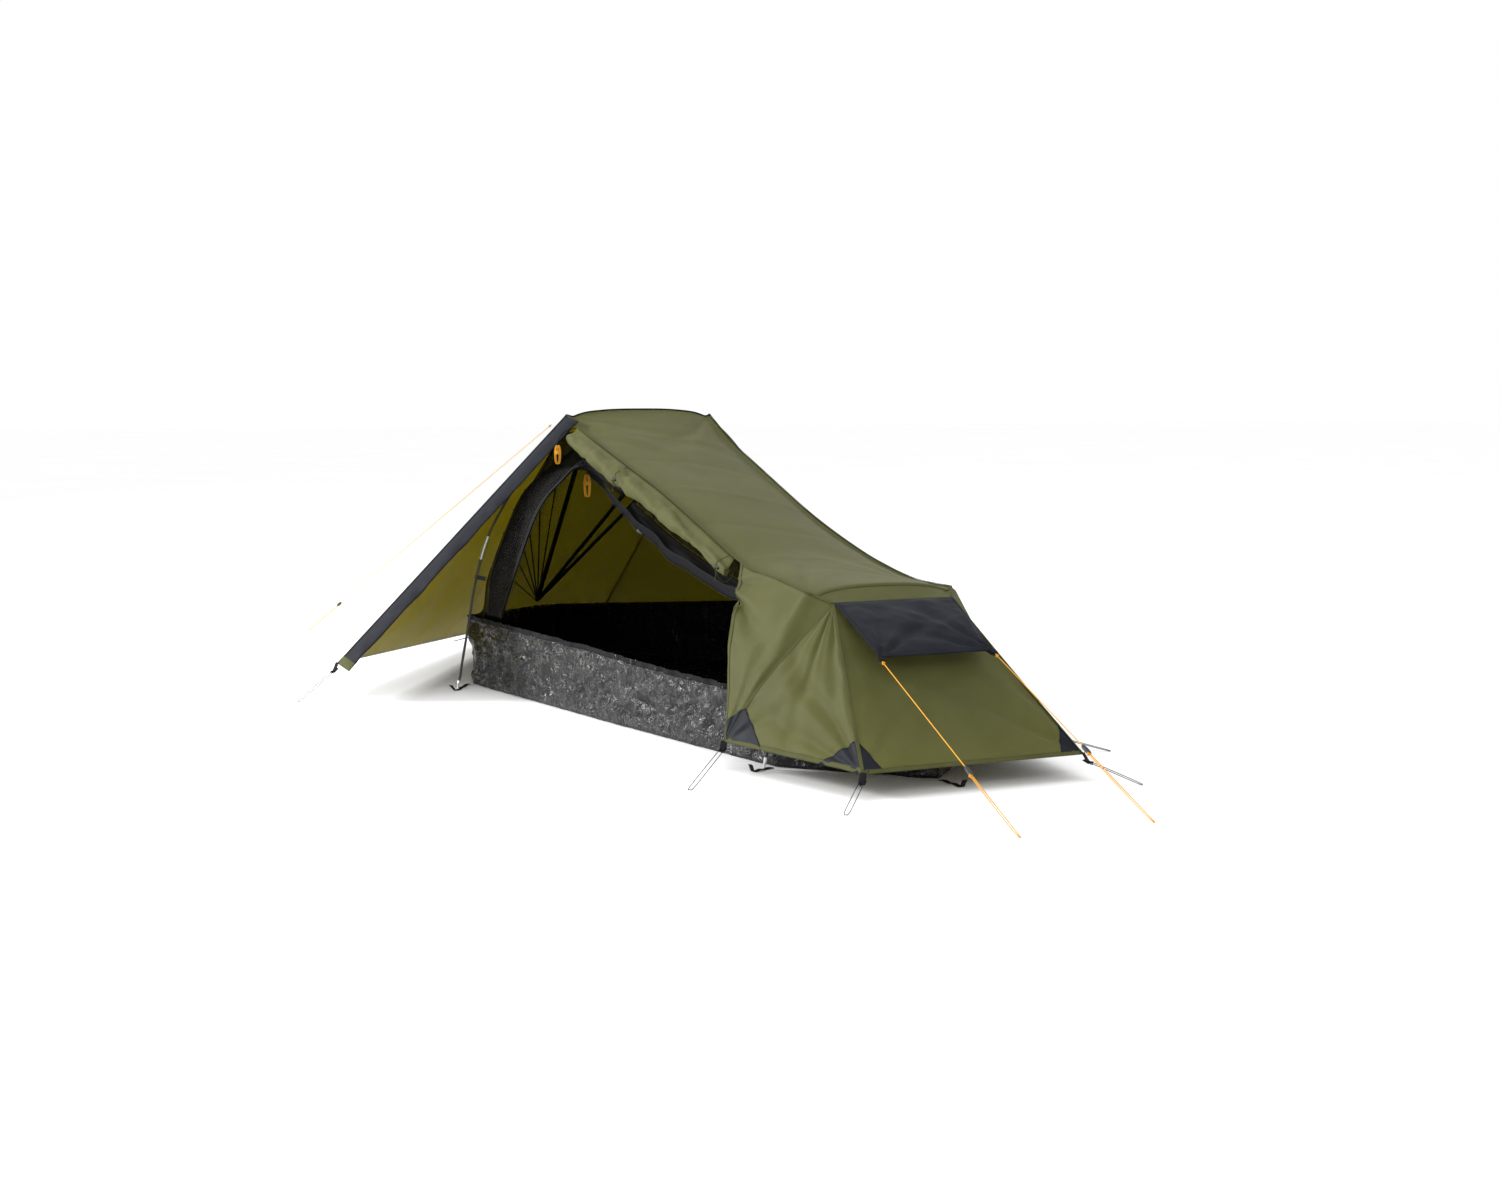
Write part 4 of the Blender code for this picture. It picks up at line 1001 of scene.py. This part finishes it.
raised = xyz(0.0, 0.0, 0.007)
SEAMS = (("near_corner_seam", ("near_corner_panel", "near_foot_side_panel"), near["corner"]),
         ("near_foot_seam", ("near_corner_panel", "foot_end_panel"), near["foot"]),
         ("far_foot_seam", ("foot_end_panel", "far_corner_panel"), far["foot"]),
         ("far_corner_seam", ("far_corner_panel", "far_foot_side_panel"), far["corner"]),
         ("near_side_seam", ("roof_panel", "near_foot_side_panel"), near["to_vent"]),
         ("far_side_seam", ("roof_panel", "far_foot_side_panel"), far["to_vent"]),
         ("far_roof_seam", ("roof_panel", "far_side_panel"), far["to_door"]),
         ("far_door_seam", ("far_side_panel", "far_foot_side_panel"), far["door"]),
         ("vent_seam", ("roof_panel", "foot_end_panel"), vent_line),
         ("foot_hoop_seam", ("roof_panel",), foot_top + xyz(0.012, 0, 0)),
         ("head_seam", ("head_end_panel", "vestibule_panel"), np.array([HEAD_HEM, SHOULDER])),
         ("head_far_seam", ("head_end_panel", "head_far_panel"), np.array([HEAD_HEM, SHOULDER]) * FAR),
         ("far_leg_seam", ("far_side_panel", "head_far_panel"), main_far_leg))
for name, panels, line in SEAMS:
    tape(name, list(panels), line, 0.009, SEAM, thread=THREAD_OLIVE)
HEMS = (("near_corner_hem", "near_corner_panel", near["hem"]), ("foot_hem", "foot_end_panel", foot_end[0]),
        ("far_corner_hem", "far_corner_panel", far["hem"]), ("far_hem", "far_side_panel", far_hem),
        ("vestibule_hem", "vestibule_panel", np.array([HEAD_HEM, FLAP_TIP])),
        ("head_hem", "head_end_panel", np.array([HEAD_HEM, HEAD_HEM * FAR])),
        ("head_far_hem", "head_far_panel", np.array([HEAD_HEM, HOOP_HEM]) * FAR))
for name, panel, line in HEMS:
    tape(name, [panel], spaced(line, 50, 0.004, 0.996) + raised, 0.014, SEAM, thread=THREAD_OLIVE)
tape("near_roof_binding", ["roof_panel"], near["to_door"] + xyz(0, 0.006, 0.002), 0.012, SEAM,
     thread=THREAD_OLIVE)
tape("door_end_binding", ["near_foot_side_panel"], near["door"] + xyz(0.006, 0, 0), 0.012, SEAM,
     thread=THREAD_OLIVE)
tape("hoop_piping", ["roof_panel", "head_end_panel"], main_top + xyz(0.004, 0, 0), 0.010, NAVY,
     lift=0.0012, thick=0.0016)
PATCHES = (("side_patch_corner", "near_corner_panel", near["corner"], 0.107, near["hem"], 0.155),
           ("side_patch_door", "near_foot_side_panel", near["corner"], 0.107, near["door"], 0.056),
           ("foot_patch_side", "near_corner_panel", near["foot"], 0.100, near["hem"][::-1], 0.163),
           ("foot_patch_end", "foot_end_panel", near["foot"], 0.100, foot_end[0], 0.060),
           ("far_foot_patch_end", "foot_end_panel", far["foot"], 0.100, foot_end[0][::-1], 0.065),
           ("far_foot_patch_side", "far_corner_panel", far["foot"], 0.100, far["hem"][::-1], 0.163),
           ("far_side_patch", "far_corner_panel", far["corner"], 0.107, far["hem"], 0.155),
           ("head_patch_near", "vestibule_panel", head_edge, 0.100, vestibule[0], 0.110),
           ("head_patch_end", "head_end_panel", head_edge, 0.100, head_end[0], 0.080))
for facts in PATCHES:
    patch(*facts)
flap_edge = np.array([SHOULDER, FLAP_TIP])
sewn(overlay("flap_hem", "storm_flap_cloth", FLAP_TIP - down * 0.032, down, 0.0010, SEAM),
     "storm_flap_cloth")
tape("flap_border", ["vestibule_panel"], flap_edge - flap_across * 0.004, 0.010, SEAM, thread=THREAD_OLIVE)
for name, inwards in (("flap_seam", 0.006), ("flap_edge_fold", FLAP_WIDE - 0.006)):
    tape(name, ["storm_flap_cloth"], spaced(flap_edge, 60, 0.02, 0.97) + flap_across * inwards, 0.008, NAVY,
         thread=THREAD_BLACK)
tape("hood_edge_binding", ["vent_hood_cloth"], spaced(hood_low, 40, 0.01, 0.99) + xyz(-0.006, 0, 0.005),
     0.011, NAVY, thread=THREAD_BLACK)
SIDES = (("near", xyz(1, 1, 1)), ("far", FAR))
for side, turn in SIDES:
    edge = spaced(np.array([HOOD_CORNER, VENT_CORNER]) * turn, 30, 0.02, 0.96) + xyz(0, 0.005, 0) * turn
    tape(f"hood_{side}_binding", ["vent_hood_cloth"], edge, 0.009, NAVY, thread=THREAD_BLACK)

# The fly door's zip: tape along the vestibule's free edge, under the storm flap.
zip_run = spaced(flap_edge, 90, 0.02, 0.97) - flap_out * 0.005
zip_tape = ribbon("fly_zip_tape", zip_run + flap_across * 0.016, flap_out, 0.030, 0.0006, RIBBON)
sewn(zip_tape, "vestibule_panel")
sewn(grains("fly_zip_teeth", [zip_run + flap_across * 0.0305], 0.0030, (0.0034, 0.0026, 0.0016), ACETAL),
     "vestibule_panel")


# Rolled door, gathered inner door.

def rolled(name, line, radii, turns, squash, crumple, material, slot, node, hang, thick):
    """Cloth rolled up along a line, its inner turns included, with its last edge led up to hang.

    radii are the roll's outer radii along the line, squash its depth against its height.
    """
    per_turn, core, tail_steps = 22, 0.14, 3
    phi = np.linspace(0.0, 2 * math.pi * turns, per_turn * turns)
    grow = core + (1 - core) * phi / phi[-1]
    spin = phi - phi[-1] + math.radians(100)         # the last turn ends just past the top
    along = unit(line[-1] - line[0])
    out = unit(np.cross(along, UP))
    out = out if out[1] < 0 else -out
    up = unit(np.cross(along, out))
    up = up if up[2] > 0 else -up
    length = run(line)[:, None]
    r = radii[:, None] * grow[None]
    angle = spin[None] + 0.5 * np.sin(length / 0.16) * (1 - grow[None])
    centre = line[:, None]
    grid = centre + out * (r * np.cos(angle) * squash)[..., None] + up * (r * np.sin(angle))[..., None]
    drawn_out = grid * xyz(0.35, 1.0, 1.0)           # crumples run along the roll
    folds = (cloudy(drawn_out, 0.022, 51.0, 2) + 0.6 * np.sin(3 * angle + length / 0.050)) * crumple
    offset = grid - centre
    size = np.maximum(np.linalg.norm(offset, axis=2, keepdims=True), 1e-6)
    grid = grid + offset / size * (folds * grow[None] ** 2)[..., None]
    last = grid[:, -1]
    tail = np.stack([last + (hang - last) * t for t in np.linspace(0, 1, tail_steps + 1)[1:]], axis=1)
    return cloth_grid(name, np.concatenate([grid, tail], axis=1), -xyz(0, 1, 0), [material], slot, (node,),
                      held="folded", thick=thick, rests_on=())


def between_x(line, low, high, count):
    """The stretch of a line between two x, as count evenly spaced points."""
    return spaced(line[(line[:, 0] > low) & (line[:, 0] < high)], count)


edge_run = between_x(near["to_door"], 0.10, DOOR_FROM_X - 0.03, 120)
middle = edge_run + ROLL_BELOW
swell = 0.014 + 0.017 * np.sin(math.pi * np.minimum(1.0, 0.15 + np.linspace(0, 1, 120)))
for place in TOGGLES.values():       # the toggles' cords pinch the roll in
    swell *= 1 - 0.28 * np.exp(-((middle[:, 0] - place[0]) / 0.030) ** 2)
swell *= 1 + 0.10 * np.sin(middle[:, 0] / 0.061) + 0.05 * np.sin(middle[:, 0] / 0.023)
rolled("rolled_fly_door", middle, swell, 8, 0.92, 0.0040, FLY_OUT, "fly_cloth", "rolled_door",
       edge_run + xyz(0, 0.0, -0.002), 0.0005)
inner_run = between_x(inner_near, 0.42, 1.46, 90)
inner_swell = 0.011 + 0.011 * np.sin(math.pi * np.minimum(1.0, 0.1 + np.linspace(0, 1, 90)))
rolled("gathered_inner_door", inner_run + xyz(0, -0.022, -0.030), inner_swell, 5, 0.9, 0.0022, NET_ROLL,
       "mesh_cloth", "inner_door_gathered", inner_run + xyz(0, -0.004, -0.002), 0.0004)


# Cords. Loops with barrel toggles hold the roll up; each goes from the roof's edge round the roll.


def free_cord(name, route, radius, material, nodes=(),
              count=0):
    """A cord on a smooth line through its route."""
    line = spline(route)
    line = spaced(line, count or max(16, int(run(line)[-1] / 0.02)))
    piece = finish_piece(tube(name, line, radius, material), nodes)


def knot(name, place, size, radius, material, along=UP):
    """An overhand knot, drawn as a small closed trefoil."""
    t = np.linspace(0, 2 * math.pi, 33)
    u = unit(np.cross(along, xyz(0.3, 0.9, 0.2)))
    w = unit(np.cross(along, u))
    line = (place + size / 6 * ((np.sin(t) + 2 * np.sin(2 * t))[:, None] * u
                                + (np.cos(t) - 2 * np.cos(2 * t))[:, None] * w
                                - 1.4 * np.sin(3 * t)[:, None] * unit(along)))
    return finish_piece(tube(name, line, radius, material, 6))


LOOP_R = 0.0012           # toggle cords
ROLL_R = 0.030            # the roll with its cord round it
for name, place in TOGGLES.items():
    i = int(np.argmin(np.abs(edge_run[:, 0] - place[0] + 0.03)))
    seam, core, r = edge_run[i], edge_run[i] + ROLL_BELOW, ROLL_R
    face = place + xyz(0.0, -0.0055, 0.0)
    tied = knot(f"toggle_{name}_knot", face + xyz(0.004, 0, -0.004), 0.006, 0.0011, LOOP_CORD)
    free_cord(f"toggle_{name}_front_cord",
              [seam + xyz(0, -0.003, 0.001), core + xyz(0.006, -r * 0.75, r * 0.75),
               core + xyz(0.020, -r - 0.002, r * 0.2), face], LOOP_R, LOOP_CORD)
    free_cord(f"toggle_{name}_back_cord",
              [face + xyz(0.002, 0, -0.003), core + xyz(0.02, -r * 0.80, -r * 0.8),
               core + xyz(0.015, 0.002, -r - 0.004), core + xyz(0.008, r * 0.9, -r * 0.3),
               seam + xyz(0, 0.004, -0.006)], LOOP_R, LOOP_CORD)
    free_cord(f"toggle_{name}_tail",
              [face + xyz(0.005, 0, -0.006), place + xyz(0.010, -0.007, -0.020),
               place + xyz(0.006, -0.008, -0.040)], LOOP_R, LOOP_CORD)

# Inner tent's tapes and zip.
NET_TOOTH_PITCH, NET_TOOTH = 0.0026, (0.0030, 0.0022, 0.0014)


def net_zip(part, tape_line, facing_to, wide, teeth_line, panel):
    """A half of the inner door's zip: its tape and its teeth."""
    sewn(ribbon(f"inner_{part}_tape", tape_line, facing_to, wide, 0.0006, RIBBON), panel)
    sewn(grains(f"inner_{part}_teeth", [teeth_line], NET_TOOTH_PITCH, NET_TOOTH, ACETAL),
         panel)


net_zip("zip", spaced(zip_line, 60, 0.01, 0.99) + xyz(-0.013, -0.005, 0), -xyz(0.1, 1, -0.1), 0.030,
        spaced(zip_line, 80, 0.01, 0.99), "inner_front_wall")
# The open door's own half hangs in waves in front of the gathered net.
hung = spaced(inner_near[2:31], 90)
hung_drop = 0.016 + 0.010 * np.sin(math.pi * np.minimum(0.6, np.linspace(0, 0.8, 90)))
hung += -xyz(0, 0.044, 0) - UP * hung_drop[:, None]
HUNG_WAVE = 0.004
hung[:, 1] += HUNG_WAVE * np.sin(hung[:, 0] / 0.034)
hung[:, 2] += HUNG_WAVE * np.sin(hung[:, 0] / 0.051 + 1.0)
hung_wide = 0.006 + 1.2 * hung_drop
net_zip("door", hung, -xyz(0, 1, 0.25), hung_wide, hung - xyz(0, 0.001, 0) - UP * (hung_wide / 2)[:, None],
        "gathered_inner_door")
for name, row in (("near", tray[0]), ("far", tray[-1])):
    tape(f"tray_rim_{name}", ["tray_floor"], spaced(row, 150, 0.004, 0.996) - raised, 0.016, RIBBON,
         lift=0.0010, thread=THREAD_BLACK)
head_tip = xyz(-0.70, -0.130, 0.205)
HEAD_TAPES = {"top": xyz(0.008, 0.120, 0.830), "near": INNER_SHOULDER, "far": INNER_SHOULDER * FAR}
for name, goal in HEAD_TAPES.items():
    straight = spaced(np.array([head_tip, goal]), 30) + xyz(-0.004, 0, 0.004)
    sewn(ribbon(f"head_tape_{name}", straight, xyz(-0.7, 0, 0.7), 0.018, 0.0008, RIBBON),
         "inner_head_wall")
for k, share_up in enumerate((0.25, 0.40, 0.52, 0.63, 0.74, 0.86)):
    straight = spaced(np.array([head_tip, at(leg, share_up) - xyz(0.012, 0, 0)]), 30)
    sewn(ribbon(f"head_pleat_{k + 1}", straight, xyz(-0.7, 0.5, 0.5), 0.005, 0.0020, NET_ROLL),
         "inner_head_wall")
tape("inner_leg_tape", ["inner_front_wall"], spaced(leg, 50, 0.01, 0.99) + xyz(0.008, 0, 0), 0.016, RIBBON)


# Guylines, each doubled below its runner, with knots and black tabs.
RUNNER_SHARES = {"near": 0.655, "far": 0.600, "rear": 0.845}
tie = xyz(0.008, 0.0, -0.006)
LINES = {"near": (HOOD_CORNER + tie, FOOT_PEG), "far": (HOOD_CORNER * FAR + tie, FOOT_PEG * FAR),
         "rear": (xyz(-0.045, -0.300, 0.872), REAR_PEG)}
for name, (start, peg) in LINES.items():
    end = peg + UP * (LINE_D / 2 + 0.0005)
    ahead = unit(end - start)
    aside = unit(np.cross(ahead, UP))
    loose = np.array([start, start * 0.5 + end * 0.5, end])
    tied = knot(f"guyline_{name}_knot", start + ahead * 0.012, 0.008, LINE_D / 2, GUYLINE, ahead)
    free_cord(f"guyline_{name}_line", loose, LINE_D / 2, GUYLINE, (f"guyline_{name}",),
              count=40)
    runner = start + (end - start) * RUNNER_SHARES[name] + ahead * 0.016
    back = knot(f"guyline_{name}_end", runner + aside * 0.0042, 0.008, LINE_D / 2, GUYLINE, ahead)
    free_cord(f"guyline_{name}_return",
              [end + aside * 0.003, end + (runner - end) * 0.15 + aside * 0.0062,
               end + (runner - end) * 0.7 + aside * 0.0058, runner + aside * 0.0044],
              LINE_D / 2, GUYLINE, count=30)
HOOD_TAB = np.array([(-0.030, 0.020, 0.024), (-0.008, 0.004, 0.006), (0.010, -0.001, -0.004),
                     (0.006, 0.003, -0.009), (-0.012, 0.008, -0.002)])
for side, turn in SIDES:
    line = (HOOD_TAB + HOOD_CORNER) * turn
    sewn(ribbon(f"hood_{side}_tab", spline(line, 5), xyz(0.55, 0, 0.83), 0.014, 0.0012, WEBBING),
         "vent_hood_cloth")

# Peg loops: elastic out from each hem corner and back, knotted behind the hem, tail ends loose.
LOOPS = {"flap": (FLAP_TIP, FLAP_PEG), "near_side": (SIDE_HEM, SIDE_PEG), "near_foot": (FOOT_HEM, CORNER_PEG),
         "far_foot": (FAR_FOOT_HEM, CORNER_PEG * FAR), "far_side": (SIDE_HEM * FAR, SIDE_PEG * FAR),
         "head": (HEAD_HEM, HEAD_PEG)}
LOOP_WIDE = 0.012
for name, (hem, peg) in LOOPS.items():
    start = hem + unit(peg - hem) * 0.012 - UP * 0.012
    end = peg + UP * 0.0022
    ahead = unit(end - start)
    aside = unit(np.cross(ahead, UP)) * LOOP_WIDE / 2
    bend = end - ahead * LOOP_WIDE
    halfway = (start + bend) / 2
    tied = knot(f"peg_loop_{name}_knot", start + ahead * 0.014, 0.010, ELASTIC_D / 2, ELASTIC,
                ahead)
    free_cord(f"peg_loop_{name}_elastic",
              [start - aside, halfway - aside * 1.1, bend - aside, end, bend + aside, halfway + aside * 1.1,
               start + aside], ELASTIC_D / 2, ELASTIC, (f"peg_loop_{name}",),
              count=40)
    tab = [start - ahead * 0.012 + UP * 0.016, start + ahead * 0.002, start + ahead * 0.008 - UP * 0.004,
           start - ahead * 0.010 - UP * 0.002]
    finish_piece(ribbon(f"peg_loop_{name}_tab", spline(tab, 6), unit(np.cross(aside, ahead)), 0.018, 0.0012,
                        WEBBING))


# Hanks: spare guyline wound up and down, then wrapped round its middle, each on a black loop.
HANK_ROWS, HANK_WRAPS, HANK_STEPS = 6, 5, 16      # turns up and down, wraps, points in each


def wound(centre, tall, wide):
    """The line of a wound hank, from its top."""
    across, depth = unit(xyz(0.45, 0.89, 0.0)), unit(xyz(0.89, -0.45, 0.0))
    line = []
    straight = tall / 2 - wide / 2
    for k in range(HANK_ROWS * HANK_STEPS):
        t = k / HANK_STEPS
        a = 2 * math.pi * t + math.pi / 2
        r = (wide / 2 - 0.0015) * (0.72 + 0.28 * math.cos(2.1 * t))
        z = straight * math.copysign(min(1.0, abs(math.sin(a)) * 1.6), math.sin(a)) + r * math.sin(a)
        line.append(centre + across * (r * math.cos(a)) + UP * z + depth * ((t - HANK_ROWS / 2) * LINE_D))
    for k in range(1, HANK_WRAPS * HANK_STEPS):
        t = k / HANK_STEPS
        a = math.pi / 2 + 2 * math.pi * t
        line.append(centre + across * ((wide / 2 - 0.001) * math.cos(a))
                    + depth * ((HANK_ROWS * LINE_D / 2 + 0.0018) * math.sin(a))
                    + UP * (tall * 0.12 + (t - HANK_WRAPS / 2) * 0.0028))
    return np.array(line)


# Each hank's middle, height, width and the route of its loop.
HANKS = {"hoop": (xyz(0.085, -0.325, 0.774), 0.064, 0.024,
                  [(0.085, -0.262, 0.862), (0.086, -0.296, 0.853), (0.086, -0.319, 0.830)]),
         "door": (xyz(0.111, -0.232, 0.671), 0.078, 0.026,
                  [(0.111, -0.208, 0.766), (0.111, -0.222, 0.745), (0.111, -0.230, 0.722)])}
for name, (centre, tall, wide, route) in HANKS.items():
    top = centre + UP * (tall / 2 - 0.004)
    free_cord(f"hank_{name}_loop", [*route, top, top - UP * 0.030], 0.0015, ELASTIC)
    line = spline(wound(centre, tall, wide), 3)
    cord = tube(f"hank_{name}_cord", line, LINE_D / 2, GUYLINE, 7)
    piece = finish_piece(cord, (f"hank_{name}",))

# Webbing straps to the pole feet and the foot tip, with loose curling ends.
MAIN_FOOT_Y = MAIN_HALF[-1][0]
MAIN_STRAP = np.array([(-0.118, -0.580, 0), (-0.06, -0.615, 0), (0, -MAIN_FOOT_Y, 0),
                       (0.022, -MAIN_FOOT_Y - 0.032, 0)])
FOOT_STRAP = np.array([(1.676, -0.312, 0), (HOOP_GAP, -0.342, 0), (1.712, -0.392, 0)])
TIP_STRAP = np.array([(2.009, 0, 0), (2.060, 0, 0), (2.125, 0, 0)])
STRAPS = {"main_webbing_near": (MAIN_STRAP, 0.014), "foot_webbing_near": (FOOT_STRAP, 0.014),
          "webbing_foot_tip": (TIP_STRAP, 0.015), "main_webbing_far": (MAIN_STRAP * FAR, 0.014),
          "foot_webbing_far": (FOOT_STRAP * FAR, 0.014)}
for name, (route, wide) in STRAPS.items():
    line = spaced(spline(route + UP * 0.0002, 8), 36)
    share = run(line) / run(line)[-1]
    ripple = 0.0012 * (1 + np.sin(share * 14)) * smooth(share / 0.2)
    curl = 0.018 * smooth((share - 0.82) / 0.18) ** 2
    line[:, 2] += ripple + curl
    finish_piece(ribbon(f"{name}_strap", line, UP, wide, 0.0015, WEBBING), (name,))


# Better finishes for the frame's own parts.

FINISHES = {"pole": POLE, "bright_metal": STEEL, "black_plastic": ACETAL, "webbing": WEBBING,
            "guyline": GUYLINE, "elastic": ELASTIC}
slot_of = {row["node"]: row["material_slot"] for row in frame["record"]["subparts"]}
for node_name, part in frame["nodes"].items():
    if not part.hide_render and slot_of[node_name] in FINISHES:
        finish = CAST if "slider" in node_name else FINISHES[slot_of[node_name]]
        for place in part.material_slots:
            place.material = finish


# Stage, light and camera.

def stage_floor(half=60, drop=-0.0005):
    mesh = bpy.data.meshes.new("stage_floor")
    mesh.from_pydata([(-half, -half, drop), (half, -half, drop), (half, half, drop), (-half, half, drop)],
                     [], [(0, 1, 2, 3)])
    made, tree, shader = new_material("painted_floor_pale", Roughness=0.85, Specular_IOR_Level=0.2)
    place = add(tree, "ShaderNodeTexCoord").outputs["Object"]
    tinted(tree, shader, place, "#fdfdfd", "#ffffff", 1.5)
    mesh.materials.append(made)
    in_scene("stage_floor", mesh)


def area_light(name, place, target, size, watts):
    lamp = bpy.data.lights.new(name, "AREA")
    lamp.shape = "RECTANGLE"
    lamp.size, lamp.size_y = size
    lamp.energy = watts
    made = in_scene(name, lamp)
    made.location = place
    made.rotation_euler = (Vector(target) - Vector(place)).to_track_quat("-Z", "Y").to_euler()


stage_floor()
area_light("overhead_softbox", (0.8, -0.6, 5.0), (0.8, 0.0, 0.3), (5.0, 4.0), 70)
area_light("key_softbox", (-3.2, -6.0, 3.4), (0.6, 0.0, 0.3), (1.3, 1.3), 430)
area_light("low_softbox", (-2.2, -6.2, 0.9), (0.6, -0.4, 0.1), (0.8, 0.6), 110)
area_light("front_softbox", (5.5, -4.0, 2.6), (0.7, 0.0, 0.4), (1.4, 1.2), 60)
world = bpy.data.worlds.new("studio")
world.use_nodes = True
world.node_tree.nodes["Background"].inputs["Color"].default_value = (1.0, 1.0, 1.0, 1.0)
world.node_tree.nodes["Background"].inputs["Strength"].default_value = 1.0
bpy.context.scene.world = world
bpy.context.scene.view_settings.view_transform = "Standard"

CAMERA_PITCH = 5.85       # degrees below level
CAMERA_TURN = 64.72       # degrees round from looking along +Y
camera = in_scene("camera", bpy.data.cameras.new("camera"))
camera.data.lens = 46.85
camera.data.sensor_width = 36.0
camera.data.clip_end = 200.0
camera.location = (6.190, -2.507, 0.954)
camera.rotation_euler = (math.radians(90 - CAMERA_PITCH), 0.0, math.radians(CAMERA_TURN))
bpy.context.scene.camera = camera
